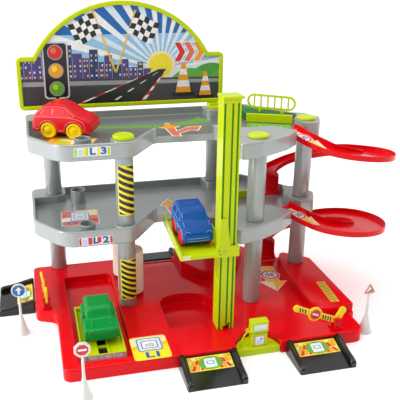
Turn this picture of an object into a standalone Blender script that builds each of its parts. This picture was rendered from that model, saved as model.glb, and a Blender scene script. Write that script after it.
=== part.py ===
# Toy parking garage, three levels, with a lift, two spiral ramps, cars and road signs.
#
# Plan sketch: X to the right, Y away from the front edge, Z up, in millimetres.
# The sketch's zero is the foot of the back left column.  Objects are placed in
# metres with the origin under the middle of the finished toy.

import math

import bmesh
import bpy
from mathutils import Matrix, Vector

MM = 0.001

# ---------------------------------------------------------------- dimensions
CX, CY = 221.27, -163.85      # middle of the toy's outline, in the sketch
GAP = 0.3                   # clearance between touching pieces

FLOOR = 20.0                # top of the base's main floor
WALL = 2.5                  # moulded wall
BLOCK_R = 34.0              # top of the right block
BLOCK_B = 37.0              # top of the back block
BAY = 8.0                   # floor of the wash bay
PIT = 3.0                   # floor of the lift pit

DECKS = {2: 137.0, 3: 272.0}    # underside of each deck
RIM = 25.0                      # deck height, underside to rim top
DECK_FLOOR = 12.0               # deck floor above the underside

COL_R, COL_RI = 14.0, 11.9      # column tube
PEG_R, PEG_H = 11.5, 8.0        # pegs the tubes push over
COLUMNS = {1: (0.0, 0.0), 2: (101.0, -160.0), 3: (290.0, 8.0),
           4: (300.0, -194.0), 5: (416.0, -105.0)}
FOOT = {1: FLOOR, 2: FLOOR, 3: BLOCK_B, 4: FLOOR, 5: BLOCK_R}

SIGN_Y = (18.0, 24.0)
SIGN_Z0, SIGN_SHOULDER, SIGN_TOP = 304.4, 392.7, 479.8

TOWER = (219.5, 244.5, -272.0, -246.0)     # x0, x1, y0, y1
TOWER_TOP = 372.0
LIFT_Z = 149.0                              # lift floor at rest

RAMP_W, RAMP_L, RAMP_H = 86.0, 58.0, 16.0

WHEEL_R = 12.5
WHEELBASE = 41.0

# ---------------------------------------------------------------- scene
for ob in list(bpy.data.objects):
    bpy.data.objects.remove(ob, do_unlink=True)

scene = bpy.context.scene
PARTS = bpy.data.collections.new("toy_parking_garage")
CUTTERS = bpy.data.collections.new("cutters")
scene.collection.children.link(PARTS)
scene.collection.children.link(CUTTERS)


def material(name, rgb, rough=0.3, metal=0.0):
    m = bpy.data.materials.new(name)
    m.use_nodes = True
    b = m.node_tree.nodes["Principled BSDF"]
    b.inputs["Base Color"].default_value = (*rgb, 1.0)
    b.inputs["Roughness"].default_value = rough
    b.inputs["Metallic"].default_value = metal
    m.diffuse_color = (*rgb, 1.0)
    return m


COLOURS = {
    "red": ((0.78, 0.005, 0.012), 0.16, 0.0),
    "grey": ((0.36, 0.38, 0.38), 0.3, 0.15),
    "column": ((0.33, 0.35, 0.35), 0.28, 0.35),
    "lime": ((0.6, 0.72, 0.008), 0.3, 0.0),
    "black": ((0.012, 0.013, 0.014), 0.12, 0.0),
    "cream": ((0.85, 0.76, 0.58), 0.45, 0.0),
    "yellow": ((0.95, 0.68, 0.0), 0.25, 0.0),
    "blue": ((0.0, 0.07, 0.34), 0.2, 0.0),
    "green": ((0.0, 0.3, 0.05), 0.25, 0.0),
    "white": ((0.9, 0.9, 0.88), 0.35, 0.0),
    "panel": ((0.25, 0.45, 0.6), 0.3, 0.0),
    "dark_green": ((0.01, 0.18, 0.03), 0.35, 0.0),
}


def paint(ob, colour):
    rgb, rough, metal = COLOURS[colour]
    ob.data.materials.clear()
    ob.data.materials.append(material(ob.name, rgb, rough, metal))
    return ob


def smooth(ob, angle=40):
    ob.data.shade_smooth()
    ob.data.set_sharp_from_angle(angle=math.radians(angle))
    return ob


def link(name, mesh, collection=None):
    ob = bpy.data.objects.new(name, mesh)
    (collection or PARTS).objects.link(ob)
    return ob


def at(ob, x, y, z=0.0, rz=0.0):
    """Put an object at a sketch point."""
    ob.location = ((x - CX) * MM, (y - CY) * MM, z * MM)
    ob.rotation_euler = (0.0, 0.0, math.radians(rz))
    return ob


def hide(ob):
    for c in list(ob.users_collection):
        c.objects.unlink(ob)
    CUTTERS.objects.link(ob)
    ob.hide_render = True
    ob.display_type = "WIRE"


def boolean(ob, tool, op):
    hide(tool)
    mod = ob.modifiers.new(op.lower(), "BOOLEAN")
    mod.operation = op
    mod.object = tool
    mod.solver = "EXACT"
    return ob


def join(ob, *tools):
    for t in tools:
        boolean(ob, t, "UNION")
    return ob


def cut(ob, *tools):
    for t in tools:
        boolean(ob, t, "DIFFERENCE")
    return ob


# ---------------------------------------------------------------- outlines
def fillet(corners, n=3):
    """Round the corners (x, y, radius) of a closed outline."""
    pts = []
    count = len(corners)
    for i, (x, y, r) in enumerate(corners):
        p = Vector((x, y))
        a = Vector(corners[i - 1][:2]) - p
        b = Vector(corners[(i + 1) % count][:2]) - p
        if r <= 0.01:
            pts.append((x, y))
            continue
        la, lb = a.length, b.length
        a.normalize()
        b.normalize()
        half = math.acos(max(-1, min(1, a.dot(b)))) / 2
        d = min(r / math.tan(half), la * 0.49, lb * 0.49)
        rr = d * math.tan(half)
        centre = p + (a + b).normalized() * (rr / math.sin(half))
        s, e = p + a * d - centre, p + b * d - centre
        a0 = math.atan2(s.y, s.x)
        da = math.atan2(e.y, e.x) - a0
        while da > math.pi:
            da -= 2 * math.pi
        while da < -math.pi:
            da += 2 * math.pi
        steps = max(1, round(n * abs(da) / (math.pi / 2)))
        for k in range(steps + 1):
            t = a0 + da * k / steps
            pts.append((centre.x + rr * math.cos(t), centre.y + rr * math.sin(t)))
    return pts


def offset(corners, d):
    """Move an outline of corners (counterclockwise) inwards by d."""
    out = []
    count = len(corners)
    for i in range(count):
        p0, p1, p2 = (Vector(corners[j % count][:2]) for j in (i - 1, i, i + 1))
        e0, e1 = (p1 - p0).normalized(), (p2 - p1).normalized()
        n0, n1 = Vector((-e0.y, e0.x)), Vector((-e1.y, e1.x))
        n = (n0 + n1).normalized()
        q = p1 + n * (d / max(0.3, n.dot(n0)))
        bend = e0.x * e1.y - e0.y * e1.x
        r = corners[i][2]
        out.append((q.x, q.y, max(0.0, r - d) if bend > 0 else max(0.0, r + d)))
    return out


def circle(x, y, r, n=24, a0=0.0, a1=360.0):
    full = abs(a1 - a0 - 360.0) < 1e-6
    steps = n if full else n + 1
    return [(x + r * math.cos(math.radians(a0 + (a1 - a0) * k / n)),
             y + r * math.sin(math.radians(a0 + (a1 - a0) * k / n)))
            for k in range(steps)]


def prism(name, pts, z0, z1, holes=()):
    """Extrude a flat outline between two heights."""
    cu = bpy.data.curves.new(name, "CURVE")
    cu.dimensions = "2D"
    cu.fill_mode = "BOTH"
    cu.extrude = (z1 - z0) / 2 * MM
    for loop in (pts, *holes):
        sp = cu.splines.new("POLY")
        sp.points.add(len(loop) - 1)
        for p, (x, y) in zip(sp.points, loop):
            p.co = ((x - CX) * MM, (y - CY) * MM, 0.0, 1.0)
        sp.use_cyclic_u = True
    tmp = link(name + "_curve", cu)
    tmp.location = (0.0, 0.0, (z0 + z1) / 2 * MM)
    bpy.context.view_layer.update()
    dg = bpy.context.evaluated_depsgraph_get()
    me = bpy.data.meshes.new_from_object(tmp.evaluated_get(dg))
    bm = bmesh.new()
    bm.from_mesh(me)
    bmesh.ops.remove_doubles(bm, verts=bm.verts, dist=0.00002)
    bmesh.ops.recalc_face_normals(bm, faces=bm.faces)
    bm.to_mesh(me)
    bm.free()
    me.name = name
    ob = link(name, me)
    ob.matrix_world = tmp.matrix_world.copy()
    bpy.data.objects.remove(tmp, do_unlink=True)
    bpy.data.curves.remove(cu)
    return ob


def loft(name, rings, closed_ring=True):
    """Skin a row of matching rings, capped at both ends (unlike sections)."""
    bm = bmesh.new()
    vs = [[bm.verts.new(((x - CX) * MM, (y - CY) * MM, z * MM)) for x, y, z in ring]
          for ring in rings]
    n = len(rings[0])
    for a, b in zip(vs, vs[1:]):
        for k in range(n):
            j = (k + 1) % n
            bm.faces.new((a[k], a[j], b[j], b[k]))
    bm.faces.new(vs[0][::-1])
    bm.faces.new(vs[-1])
    bmesh.ops.triangulate(bm, faces=[f for f in bm.faces if len(f.verts) > 4])
    bmesh.ops.recalc_face_normals(bm, faces=bm.faces)
    me = bpy.data.meshes.new(name)
    bm.to_mesh(me)
    bm.free()
    return link(name, me)


def cyl(name, x, y, z0, z1, r, n=24, r2=None):
    bm = bmesh.new()
    bmesh.ops.create_cone(bm, cap_ends=True, segments=n, radius1=r * MM,
                          radius2=(r if r2 is None else r2) * MM,
                          depth=(z1 - z0) * MM)
    me = bpy.data.meshes.new(name)
    bm.to_mesh(me)
    bm.free()
    ob = link(name, me)
    return at(ob, x, y, (z0 + z1) / 2)


def rod(name, p0, p1, r, n=12):
    """A cylinder between two sketch points."""
    a, b = Vector(p0), Vector(p1)
    d = b - a
    bm = bmesh.new()
    bmesh.ops.create_cone(bm, cap_ends=True, segments=n, radius1=r * MM,
                          radius2=r * MM, depth=d.length * MM)
    me = bpy.data.meshes.new(name)
    bm.to_mesh(me)
    bm.free()
    ob = link(name, me)
    mid = (a + b) / 2
    at(ob, *mid)
    ob.rotation_mode = "QUATERNION"
    ob.rotation_quaternion = d.to_track_quat("Z", "Y")
    return ob


def box(name, x0, x1, y0, y1, z0, z1):
    bm = bmesh.new()
    bmesh.ops.create_cube(bm, size=1.0)
    bmesh.ops.scale(bm, verts=bm.verts,
                    vec=((x1 - x0) * MM, (y1 - y0) * MM, (z1 - z0) * MM))
    me = bpy.data.meshes.new(name)
    bm.to_mesh(me)
    bm.free()
    return at(link(name, me), (x0 + x1) / 2, (y0 + y1) / 2, (z0 + z1) / 2)


def turned(name, x, y, profile, n=24, closed=False):
    """Turn a profile of (radius, height), outer side from the top down."""
    bm = bmesh.new()
    vs = [bm.verts.new((r * MM, 0.0, z * MM)) for r, z in profile]
    for a, b in zip(vs, vs[1:]):
        bm.edges.new((a, b))
    if closed:
        bm.edges.new((vs[-1], vs[0]))
    me = bpy.data.meshes.new(name)
    bm.to_mesh(me)
    bm.free()
    ob = at(link(name, me), x, y, 0.0)
    s = ob.modifiers.new("turn", "SCREW")
    s.angle = math.tau
    s.steps = s.render_steps = n
    s.use_merge_vertices = True
    s.merge_threshold = 0.00001
    return ob


def tube(name, x, y, z0, z1, r, ri, n=20):
    return turned(name, x, y, [(r, z1), (r, z0), (ri, z0), (ri, z1)], n, closed=True)


# ---------------------------------------------------------------- base
BASE_C = ([
    (-14, -322, 12), (439, -322, 16), (439, -272, 3), (448, -269, 5),
    (448, -98, 12), (436, -86, 8), (404, -60, 8), (382, -28, 14), (344, 14, 12),
    (236, 14, 5), (236, -6, 3), (132, -6, 3), (132, 4, 3), (-46, 4, 9),
    (-46, -150, 14), (-14, -164, 16)])
BAY_C = [(5, -50, 6), (8, -292, 4), (86, -292, 4), (86, -50, 8)]
PIT_C = ([(151, -252, 2), (212, -252, 2), (212, -242, 2), (241, -242, 2),
                  (241, -182, 10), (228, -161, 18), (206, -151, 30),
                  (178, -150, 30), (158, -158, 18), (151, -174, 10)])
RBLOCK_C = ([(381, -246, 8), (397, -271, 6), (447.6, -267, 5), (447.6, -98, 12),
                     (436, -86.4, 8), (404, -60.6, 8), (390, -84, 10), (386, -130, 30)])
BBLOCK_C = ([(212, -66, 10), (244, -117, 12), (316, -76, 12), (335, -40, 10),
                     (335, 13.6, 4), (236.4, 13.6, 3), (236.4, -6.4, 2),
                     (212, -6.4, 3)])
NOTCH_C = (269.0, -319.0)
NOTCH_R = 34.6


def build_base():
    base = prism("base", fillet(BASE_C), 0.0, FLOOR)
    join(base,
         cyl("lobe_1", *COLUMNS[1], 0.0, FLOOR, 15.6, 24),
         prism("block_back", fillet(BBLOCK_C), FLOOR - 1.5, BLOCK_B),
         cyl("lobe_3", *COLUMNS[3], 0.0, BLOCK_B, 16.0, 24),
         prism("block_right", fillet(RBLOCK_C), FLOOR - 1.5, BLOCK_R))
    # recesses seen from above
    bay = prism("bay_cut", fillet(BAY_C, 3), BAY, 60.0)
    lead = loft("bay_lead_in", [
        [(8.3, -291, BAY + 0.2), (85.7, -291, BAY + 0.2), (85.7, -291, 30), (8.3, -291, 30)],
        [(8.3, -311, FLOOR + 0.5), (85.7, -311, FLOOR + 0.5), (85.7, -311, 30), (8.3, -311, 30)]])
    rear = loft("rear_slope", [
        [(139, -48, FLOOR + 0.2), (208, -48, FLOOR + 0.2), (208, -48, 30), (139, -48, 30)],
        [(139, 20, 5.0), (208, 20, 5.0), (208, 20, 30), (139, 20, 30)]])
    cut(base, bay, lead, prism("pit_cut", fillet(PIT_C, 3), PIT, 60.0), rear,
        cyl("notch_cut", *NOTCH_C, -5.0, 60.0, NOTCH_R, 32))
    # the hollow underneath
    hollow = prism("hollow", fillet(offset(BASE_C, WALL)), -2.0, FLOOR - WALL)
    join(hollow,
         prism("hollow_right", fillet(offset(RBLOCK_C, WALL + 0.4)), 2.0, BLOCK_R - WALL),
         prism("hollow_back", fillet(offset(BBLOCK_C, WALL + 0.4)), 2.0, BLOCK_B - WALL))
    cut(hollow,
        prism("keep_bay", fillet(offset(BAY_C, -WALL), 3), BAY - WALL, 40.0),
        box("keep_lead", 8.3 - WALL, 85.7 + WALL, -315.0, -285.0, BAY - WALL - 0.4, 40.0),
        prism("keep_pit", fillet(offset(PIT_C, -WALL), 3), -5.0, 40.0),
        box("keep_rear", 136.5, 210.5, -52.0, 10.0, 7.0, 40.0),
        cyl("keep_notch", *NOTCH_C, -5.0, 40.0, NOTCH_R + WALL, 24),
        cyl("keep_lobe_1", *COLUMNS[1], -5.0, 60.0, 18.0, 12),
        cyl("keep_lobe_3", *COLUMNS[3], -5.0, 60.0, 18.5, 12))
    cut(base, hollow)
    # pegs for the column tubes
    for k, (x, y) in COLUMNS.items():
        join(base, cyl("base_peg_%d" % k, x, y, FOOT[k] - 2.0, FOOT[k] + PEG_H, PEG_R, 12))
    return paint(base, "red")


base = build_base()

# ---------------------------------------------------------------- spiral ramps
# centre line (x, y, height above the floor it lands on, half width)
SPIRAL_HIGH = [(371, -127, 135.4, 22), (374.5, -133.5, 135.4, 21.5), (387, -156, 130.5, 18.5), (402, -179, 123.5, 20),
               (425, -200, 115.5, 22), (462, -210, 109, 25), (500, -197, 101, 26),
               (520, -160, 93, 27), (509, -119, 86, 27), (480, -86, 80, 26),
               (444, -62, 69, 25), (410, -40, 51, 24), (384, -34, 32, 23),
               (372, -50, 12, 23), (371, -66, 0.9, 23)]
SPIRAL_LOW = [(371, -127, 129.4, 22), (374.5, -133.5, 129.4, 21.5), (387, -156, 126.5, 18.5), (402, -179, 122, 20),
              (425, -200, 116.5, 22), (462, -209, 112, 25), (499, -196, 106.5, 26),
              (517, -160, 101, 27), (509, -119, 95, 27), (480, -86, 87, 26),
              (444, -62, 73, 25), (410, -40, 53, 24), (384, -34, 32, 23),
              (372, -50, 12, 23), (371, -66, 0.9, 23)]
SP_WALL, SP_FLOOR, SP_RIM = 2.2, 2.0, 6.6


def catmull(ctrl, per=3):
    """Smooth a row of control points."""
    out = []
    n = len(ctrl)
    for i in range(n - 1):
        p = [ctrl[max(i - 1, 0)], ctrl[i], ctrl[i + 1], ctrl[min(i + 2, n - 1)]]
        for s in range(per):
            t = s / per
            out.append(tuple(
                0.5 * (2 * p[1][k] + (p[2][k] - p[0][k]) * t
                       + (2 * p[0][k] - 5 * p[1][k] + 4 * p[2][k] - p[3][k]) * t * t
                       + (3 * p[1][k] - p[0][k] - 3 * p[2][k] + p[3][k]) * t ** 3)
                for k in range(4)))
    out.append(tuple(float(v) for v in ctrl[-1]))
    return out


def spiral(name, ctrl, landing, per=3):
    path = catmull(ctrl, per)
    rings = []
    for i, (x, y, h, w) in enumerate(path):
        a, b = path[max(i - 1, 0)], path[min(i + 1, len(path) - 1)]
        d = Vector((b[0] - a[0], b[1] - a[1])).normalized()
        left = Vector((-d.y, d.x))
        z = landing + h
        rim = SP_RIM * min(1.0, 0.25 + 0.75 * min(i, len(path) - 1 - i) / 2.0)
        section = [(-w, -SP_FLOOR), (w, -SP_FLOOR), (w, rim), (w - SP_WALL, rim),
                   (w - SP_WALL, 0.0), (-w + SP_WALL, 0.0), (-w + SP_WALL, rim), (-w, rim)]
        rings.append([(x + left.x * s, y + left.y * s, z + t) for s, t in section])
    return rings


def notch(ctrl, margin=0.7, first=2, last=12):
    """Plan outline of the ramp where it passes through the deck's edge."""
    path = catmull(ctrl, 3)
    near, far = [], []
    for i in range(first, last):
        a, b = path[i - 1], path[i + 1]
        d = Vector((b[0] - a[0], b[1] - a[1])).normalized()
        left = Vector((-d.y, d.x))
        x, y, w = path[i][0], path[i][1], path[i][3] + margin
        far.append((x + left.x * w, y + left.y * w))
        near.append((x - left.x * w, y - left.y * w))
    return near + far[::-1]


# ---------------------------------------------------------------- decks
DECK_C = ([
    (-38, 28, 14), (-38, -118, 30), (6, -181.5, 36), (111, -182, 26), (157, -112.5, 12),
    (258, -116, 5), (262, -229, 9), (298, -222, 30), (350, -192, 24), (377, -165, 3),
    (404, -133, 3), (430, -130, 14), (445, -95, 14), (430, -62, 10), (412, -54, 6),
    (352, 28, 12)])
LOBE_OUT = [(250, -136), (250, -260), (384.3, -260), (384.3, -187), (348, -136)]
C5_OUT_2 = [(386, -98), (409.6, -140.2), (417, -151), (470, -151), (470, -45),
          (404, -45), (396, -78)]
C5_OUT_3 = [(397.6, -103), (399.5, -112), (409.6, -140.2), (417, -151), (470, -151), (470, -45),
            (418, -45), (411, -79), (405, -86), (400, -93)]
CORNER_OUT = fillet([(-50, 40, 0), (-50, -18, 0), (20, -18, 17), (20, 40, 0)], 5)
CUPS = {2: [(40.0, -20.0, 23.0), (42.0, -158.0, 17.0)], 3: [(42.0, -155.0, 16.0)]}


def build_deck(level):
    z0 = DECKS[level]
    zf, z1 = z0 + DECK_FLOOR, z0 + RIM
    tag = "_%d" % level
    deck = prism("deck_level%s" % tag, fillet(DECK_C), z0, z1)
    recess = prism("recess" + tag, fillet(offset(DECK_C, 5.0)), zf, z1 + 5)
    join(recess, prism("mouth" + tag, [(356, -146), (389, -194), (424, -142), (396, -118)],
                       zf, z1 + 5),
         prism("lift_mouth" + tag, [(160, -130), (252, -130), (252, -100), (160, -100)],
               zf, z1 + 5))
    cut(recess,
        prism("lobe" + tag, LOBE_OUT, zf - 5, z1 + 9),
        prism("block5" + tag, C5_OUT_2 if level == 2 else C5_OUT_3, zf - 5, z1 + 9),
        prism("corner" + tag, CORNER_OUT, zf - 5, z1 + 9),
        cyl("collar2" + tag, *COLUMNS[2], zf - 5, z1 + 9, 19.5, 28),
        cyl("collar3" + tag, *COLUMNS[3], zf - 5, z1 + 9, 19.5, 28),
        box("collar3_wall" + tag, COLUMNS[3][0] - 19.5, COLUMNS[3][0] + 19.5,
            COLUMNS[3][1], 40, zf - 5, z1 + 9))
    hollow = prism("under" + tag, fillet(offset(DECK_C, 3.0)), z0 - 3, zf - WALL)
    cut(deck, recess, hollow)
    cut(deck, prism("ramp_notch" + tag, notch(SPIRAL_LOW if level == 2 else SPIRAL_HIGH),
                    z0 - 5, z1 + 5))
    for k, (x, y) in COLUMNS.items():
        join(deck, cyl("peg_down_%d" % k + tag, x, y, zf - WALL - PEG_H, zf - 1.0, PEG_R, 12))
        if level == 2:
            join(deck, cyl("peg_up_%d" % k + tag, x, y, z1 - 2.0, z1 + PEG_H, PEG_R, 12))
        else:
            cut(deck, cyl("cap_hole_%d" % k, x, y, z1 - 7.5, z1 + 5, 9.7, 16))
    for i, (x, y, h) in enumerate(CUPS[level]):
        join(deck, tube("cup_%d" % i + tag, x, y, zf - 1.0, zf + h, 12.5, 10.3, 16))
    return paint(deck, "grey")


deck_2 = build_deck(2)
deck_3 = build_deck(3)

# ---------------------------------------------------------------- columns
for k, (x, y) in COLUMNS.items():
    low = tube("column_lower_%d" % k, 0, 0, 0.0,
               DECKS[2] + DECK_FLOOR - WALL - GAP - (FOOT[k] + GAP), COL_R, COL_RI)
    smooth(paint(at(low, x, y, FOOT[k] + GAP), "column"))
    z0 = DECKS[2] + RIM + GAP
    up = tube("column_upper_%d" % k, 0, 0, 0.0,
              DECKS[3] + DECK_FLOOR - WALL - GAP - z0, COL_R, COL_RI)
    smooth(paint(at(up, x, y, z0), "column"))

TOP = DECKS[3] + RIM
for k in (2, 4, 5):
    x, y = COLUMNS[k]
    h = 6.5 if k == 2 else 5.0
    cap = turned("column_cap_%d" % k, 0, 0,
                 [(0, h), (10.0, h - 0.6), (14.6, h - 2.0), (16.2, h - 3.6), (16.2, 0.3),
                  (9.0, 0.3), (9.0, -6.0), (0, -6.0)], 18)
    smooth(paint(at(cap, x, y, TOP), "lime"))

# ---------------------------------------------------------------- sign
ARCH_C, ARCH_R = (131.0, 309.2), 170.6


def sign_outline(inset):
    """The arched board, seen from the front, as (x, z)."""
    x0, x1 = -45.8 + inset, 307.8 - inset
    zs, r = SIGN_SHOULDER - inset, ARCH_R - inset
    half = math.sqrt(r * r - (zs - ARCH_C[1]) ** 2)
    a = math.degrees(math.asin((zs - ARCH_C[1]) / r))
    arc = circle(ARCH_C[0], ARCH_C[1], r, 20, a, 180.0 - a)
    rr = max(1.0, 9.0 - inset)
    outline = fillet([(x0, zs, rr), (x0, SIGN_Z0 + inset, rr),
                      (x1, SIGN_Z0 + inset, rr), (x1, zs, rr)], 3)
    return outline + [(ARCH_C[0] + half, zs + 0.1)] + arc[1:-1] + [(ARCH_C[0] - half, zs + 0.1)]


def upright(name, pts, y0, y1):
    """Extrude an outline given as (x, z) between two depths."""
    ob = prism(name, [(x + CX, -z + CY) for x, z in pts], y0, y1)
    me = ob.data
    me.transform(ob.matrix_world)
    ob.matrix_world = Matrix.Identity(4)
    # turn the flat sheet so that its -Y side becomes up and its +Z side the front
    me.transform(Matrix.Rotation(math.radians(-90), 4, "X"))
    me.transform(Matrix.Translation((-CX * MM, -CY * MM, 0.0)))
    return ob


frame = upright("sign_frame", sign_outline(0.0), *SIGN_Y)
cut(frame, upright("sign_opening", sign_outline(7.0), SIGN_Y[0] - 5, SIGN_Y[1] + 5),
    upright("sign_rabbet", sign_outline(4.0), SIGN_Y[0] + 3.0, SIGN_Y[1] + 5))
paint(frame, "lime")
panel = paint(upright("sign_panel", sign_outline(4.4), SIGN_Y[0] + 3.3, SIGN_Y[0] + 4.8), "panel")

for name, k in (("sign_foot_left", 1), ("sign_foot_right", 3)):
    x, y = COLUMNS[k]
    foot = turned(name, 0, 0,
                  [(0, 3.0), (14.2, 3.0), (14.2, 0.3), (9.0, 0.3), (9.0, -6.0), (0, -6.0)], 18)
    at(foot, x, y, TOP)
    join(foot,
         box(name + "_shelf", x - 9, x + 9, y, 27.0, TOP + 1.0, SIGN_Z0 - GAP),
         box(name + "_back", x - 9, x + 9, SIGN_Y[1] + GAP, 27.0, TOP + 1.2, SIGN_Z0 + 16))
    paint(foot, "lime")

# ---------------------------------------------------------------- lift tower
tx0, tx1, ty0, ty1 = TOWER
tower = prism("lift_tower", [(tx0, ty0), (tx1, ty0), (tx1, ty1), (tx0, ty1)],
              FLOOR + GAP, TOWER_TOP)
cut(tower, prism("tower_core", [(tx0 + 3.2, ty0 + 5.2), (tx1 - 3.2, ty0 + 5.2),
                                (tx1 - 3.2, ty1 - 3.2), (tx0 + 3.2, ty1 - 3.2)],
                 FLOOR - 5, TOWER_TOP - 3.0))
for i, gx in enumerate((222.0, 233.0, 240.8)):
    cut(tower, box("tower_groove_%d" % i, gx - 1.4, gx + 1.4, ty0 - 3, ty0 + 3.0,
                   FLOOR - 5, TOWER_TOP - 5.0))
cut(tower, prism("tower_notch_1", [(235.0, -290.0), (238.4, -290.0), (238.4, -262.0), (235.0, -262.0)],
                 FLOOR - 5, FLOOR + 11.0),
    prism("tower_notch_2", [(228.0, -290.0), (236.0, -290.0), (236.0, -262.0), (228.0, -262.0)],
          FLOOR - 5, FLOOR + 6.0))
paint(tower, "lime")
cap = box("tower_cap", tx0 - 1.0, tx1 + 3.5, ty0 - 1.5, ty1 + 1.5, TOWER_TOP + GAP, TOWER_TOP + 4.2)
join(cap, box("tower_cap_plug", tx0 + 4.2, tx1 - 4.2, ty0 + 6.2, ty1 - 4.2,
              TOWER_TOP - 2.0, TOWER_TOP + 1.0))
cut(tower, box("tower_cap_socket", tx0 + 3.9, tx1 - 3.9, ty0 + 5.9, ty1 - 3.9,
               TOWER_TOP - 4.0, TOWER_TOP + 1.0))
paint(cap, "lime")

# lift platform with its sleeve round the tower
SL = 0.6                                 # running clearance round the tower
LIFT_C = [(161.0, -274.5, 2), (218.6, -274.5, 0), (218.6, -243.5, 0), (237.0, -243.5, 1),
          (237.0, -165.0, 16), (222.0, -138.0, 12), (165.5, -132.5, 4)]
platform = prism("lift_platform", fillet(LIFT_C, 3), LIFT_Z - 5.0, LIFT_Z + 3.0)
pocket = prism("lift_pocket", fillet(offset(LIFT_C, 2.4), 3), LIFT_Z, LIFT_Z + 20)
cut(platform, pocket, box("lift_entry", 164.0, 214.0, -290.0, -265.0, LIFT_Z, LIFT_Z + 20))
side = loft("lift_side", [
    [(161.2, -273.5, LIFT_Z - 4.0), (163.2, -273.5, LIFT_Z - 4.0),
     (163.2, -273.5, LIFT_Z + 5.0), (161.2, -273.5, LIFT_Z + 5.0)],
    [(165.6, -134.5, LIFT_Z - 4.0), (167.6, -134.5, LIFT_Z - 4.0),
     (167.6, -134.5, LIFT_Z + 15.0), (165.6, -134.5, LIFT_Z + 15.0)]])
sleeve = box("lift_sleeve", 215.0, tx1 + 3.6, ty0 - 3.6, ty1 + 3.6, LIFT_Z - 5.6, LIFT_Z + 11.0)
gusset = upright("lift_gusset", [(215.5, LIFT_Z - 3.0), (236.0, LIFT_Z - 3.0), (234.0, LIFT_Z + 16.0),
                                 (229.0, LIFT_Z + 54.0), (219.5, LIFT_Z + 54.0)],
                 ty0 - 3.2, ty0 - 0.2)
join(platform, side, sleeve, gusset)
cut(platform, box("lift_bore", tx0 - SL, tx1 + SL, ty0 - SL, ty1 + SL, LIFT_Z - 30, LIFT_Z + 80),
    box("lift_clear", 210.0, tx0 + 5.0, -269.0, -242.0, LIFT_Z, LIFT_Z + 80))
paint(platform, "lime")

def build_spiral(name, ctrl, landing):
    ob = loft(name, spiral(name, ctrl, landing))
    return paint(ob, "red")


spiral_upper = build_spiral("spiral_ramp_upper", SPIRAL_HIGH, DECKS[2] + DECK_FLOOR + SP_FLOOR)
spiral_lower = build_spiral("spiral_ramp_lower", SPIRAL_LOW, FLOOR + SP_FLOOR)

# ---------------------------------------------------------------- access ramps
def ramp_mesh():
    w, l, h = RAMP_W / 2, RAMP_L, RAMP_H
    plate = loft("ramp_plate", [
        [(-w + 2 + CX, CY - 0.3, h - 4.0), (w - 2 + CX, CY - 0.3, h - 4.0),
         (w - 2 + CX, CY - 0.3, h), (-w + 2 + CX, CY - 0.3, h)],
        [(-w + 2 + CX, CY - l, 0.3), (w - 2 + CX, CY - l, 0.3),
         (w - 2 + CX, CY - l, 1.8), (-w + 2 + CX, CY - l, 1.8)]])
    rails = []
    for s in (-1, 1):
        rings = []
        for y, top in ((-0.3, 22.0), (-6.0, 22.5), (-l + 8, 13.0), (-l, 9.0)):
            ring = []
            xo, xi = s * w, s * (w - 9.0)
            for x, z in ((xo, 0.0), (xi, 0.0), (xi, top - 2.5), (xi + s * 2.2, top),
                         (xo - s * 2.2, top), (xo, top - 2.5)):
                ring.append((x + CX, y + CY, z))
            rings.append(ring if s > 0 else ring[::-1])
        rails.append(loft("ramp_rail", rings))
    return plate, rails


def build_ramp(name, x, y, rz):
    plate, rails = ramp_mesh()
    plate.name = name
    for r in rails:
        r.parent = plate
        boolean(plate, r, "UNION")
    at(plate, x, y, 0.0, rz)
    return paint(plate, "black")


build_ramp("front_ramp_left", 190.0, -322.0, 0)
build_ramp("front_ramp_right", 353.0, -322.0, 0)
build_ramp("left_ramp", -46.3, -81.0, -90)
build_ramp("rear_ramp", 181.0, -5.7, 180)

# ---------------------------------------------------------------- fuel pump
island = prism("fuel_pump", circle(*NOTCH_C, 33.6, 24, 0, 180), GAP, 11.0)
join(island,
     box("pump_cabinet", 259, 283.5, -314, -303, 9, 33),
     box("pump_neck", 260.5, 282, -312.5, -304, 31, 38),
     prism("pump_head", fillet([(257.5, -316, 2), (284.5, -316, 2), (284.5, -302, 2), (257.5, -302, 2)], 2),
           36, 53),
     box("pump_holster", 252.5, 259, -311, -304, 34, 38))
cut(island, box("pump_holster_slot", 250.0, 257.0, -309, -306, 30, 60))
paint(island, "lime")


def wire(name, pts, r, res=2):
    cu = bpy.data.curves.new(name, "CURVE")
    cu.dimensions = "3D"
    cu.bevel_depth = r * MM
    cu.bevel_resolution = res
    cu.use_fill_caps = True
    sp = cu.splines.new("POLY")
    sp.points.add(len(pts) - 1)
    for p, (x, y, z) in zip(sp.points, pts):
        p.co = ((x - CX) * MM, (y - CY) * MM, z * MM, 1.0)
    return link(name, cu)


def solid(ob):
    """Turn a finished curve into a welded mesh."""
    bpy.context.view_layer.update()
    dg = bpy.context.evaluated_depsgraph_get()
    me = bpy.data.meshes.new_from_object(ob.evaluated_get(dg))
    bm = bmesh.new()
    bm.from_mesh(me)
    bmesh.ops.remove_doubles(bm, verts=bm.verts, dist=0.00001)
    bmesh.ops.recalc_face_normals(bm, faces=bm.faces)
    bm.to_mesh(me)
    bm.free()
    name, world, cu = ob.name, ob.matrix_world.copy(), ob.data
    bpy.data.objects.remove(ob, do_unlink=True)
    bpy.data.curves.remove(cu)
    new = link(name, me)
    new.matrix_world = world
    return new


hose_pts = [(255.3 - 3.0 * math.sin(math.pi * t) - 9.0 * t, -307.5, 36.0 - 24.2 * t)
            for t in [k / 8 for k in range(9)]]
hose = solid(wire("pump_hose", hose_pts, 1.1))
join(hose, cyl("nozzle", 255.3, -307.5, 33.0, 40.0, 1.2, 10))
paint(hose, "lime")

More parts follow.
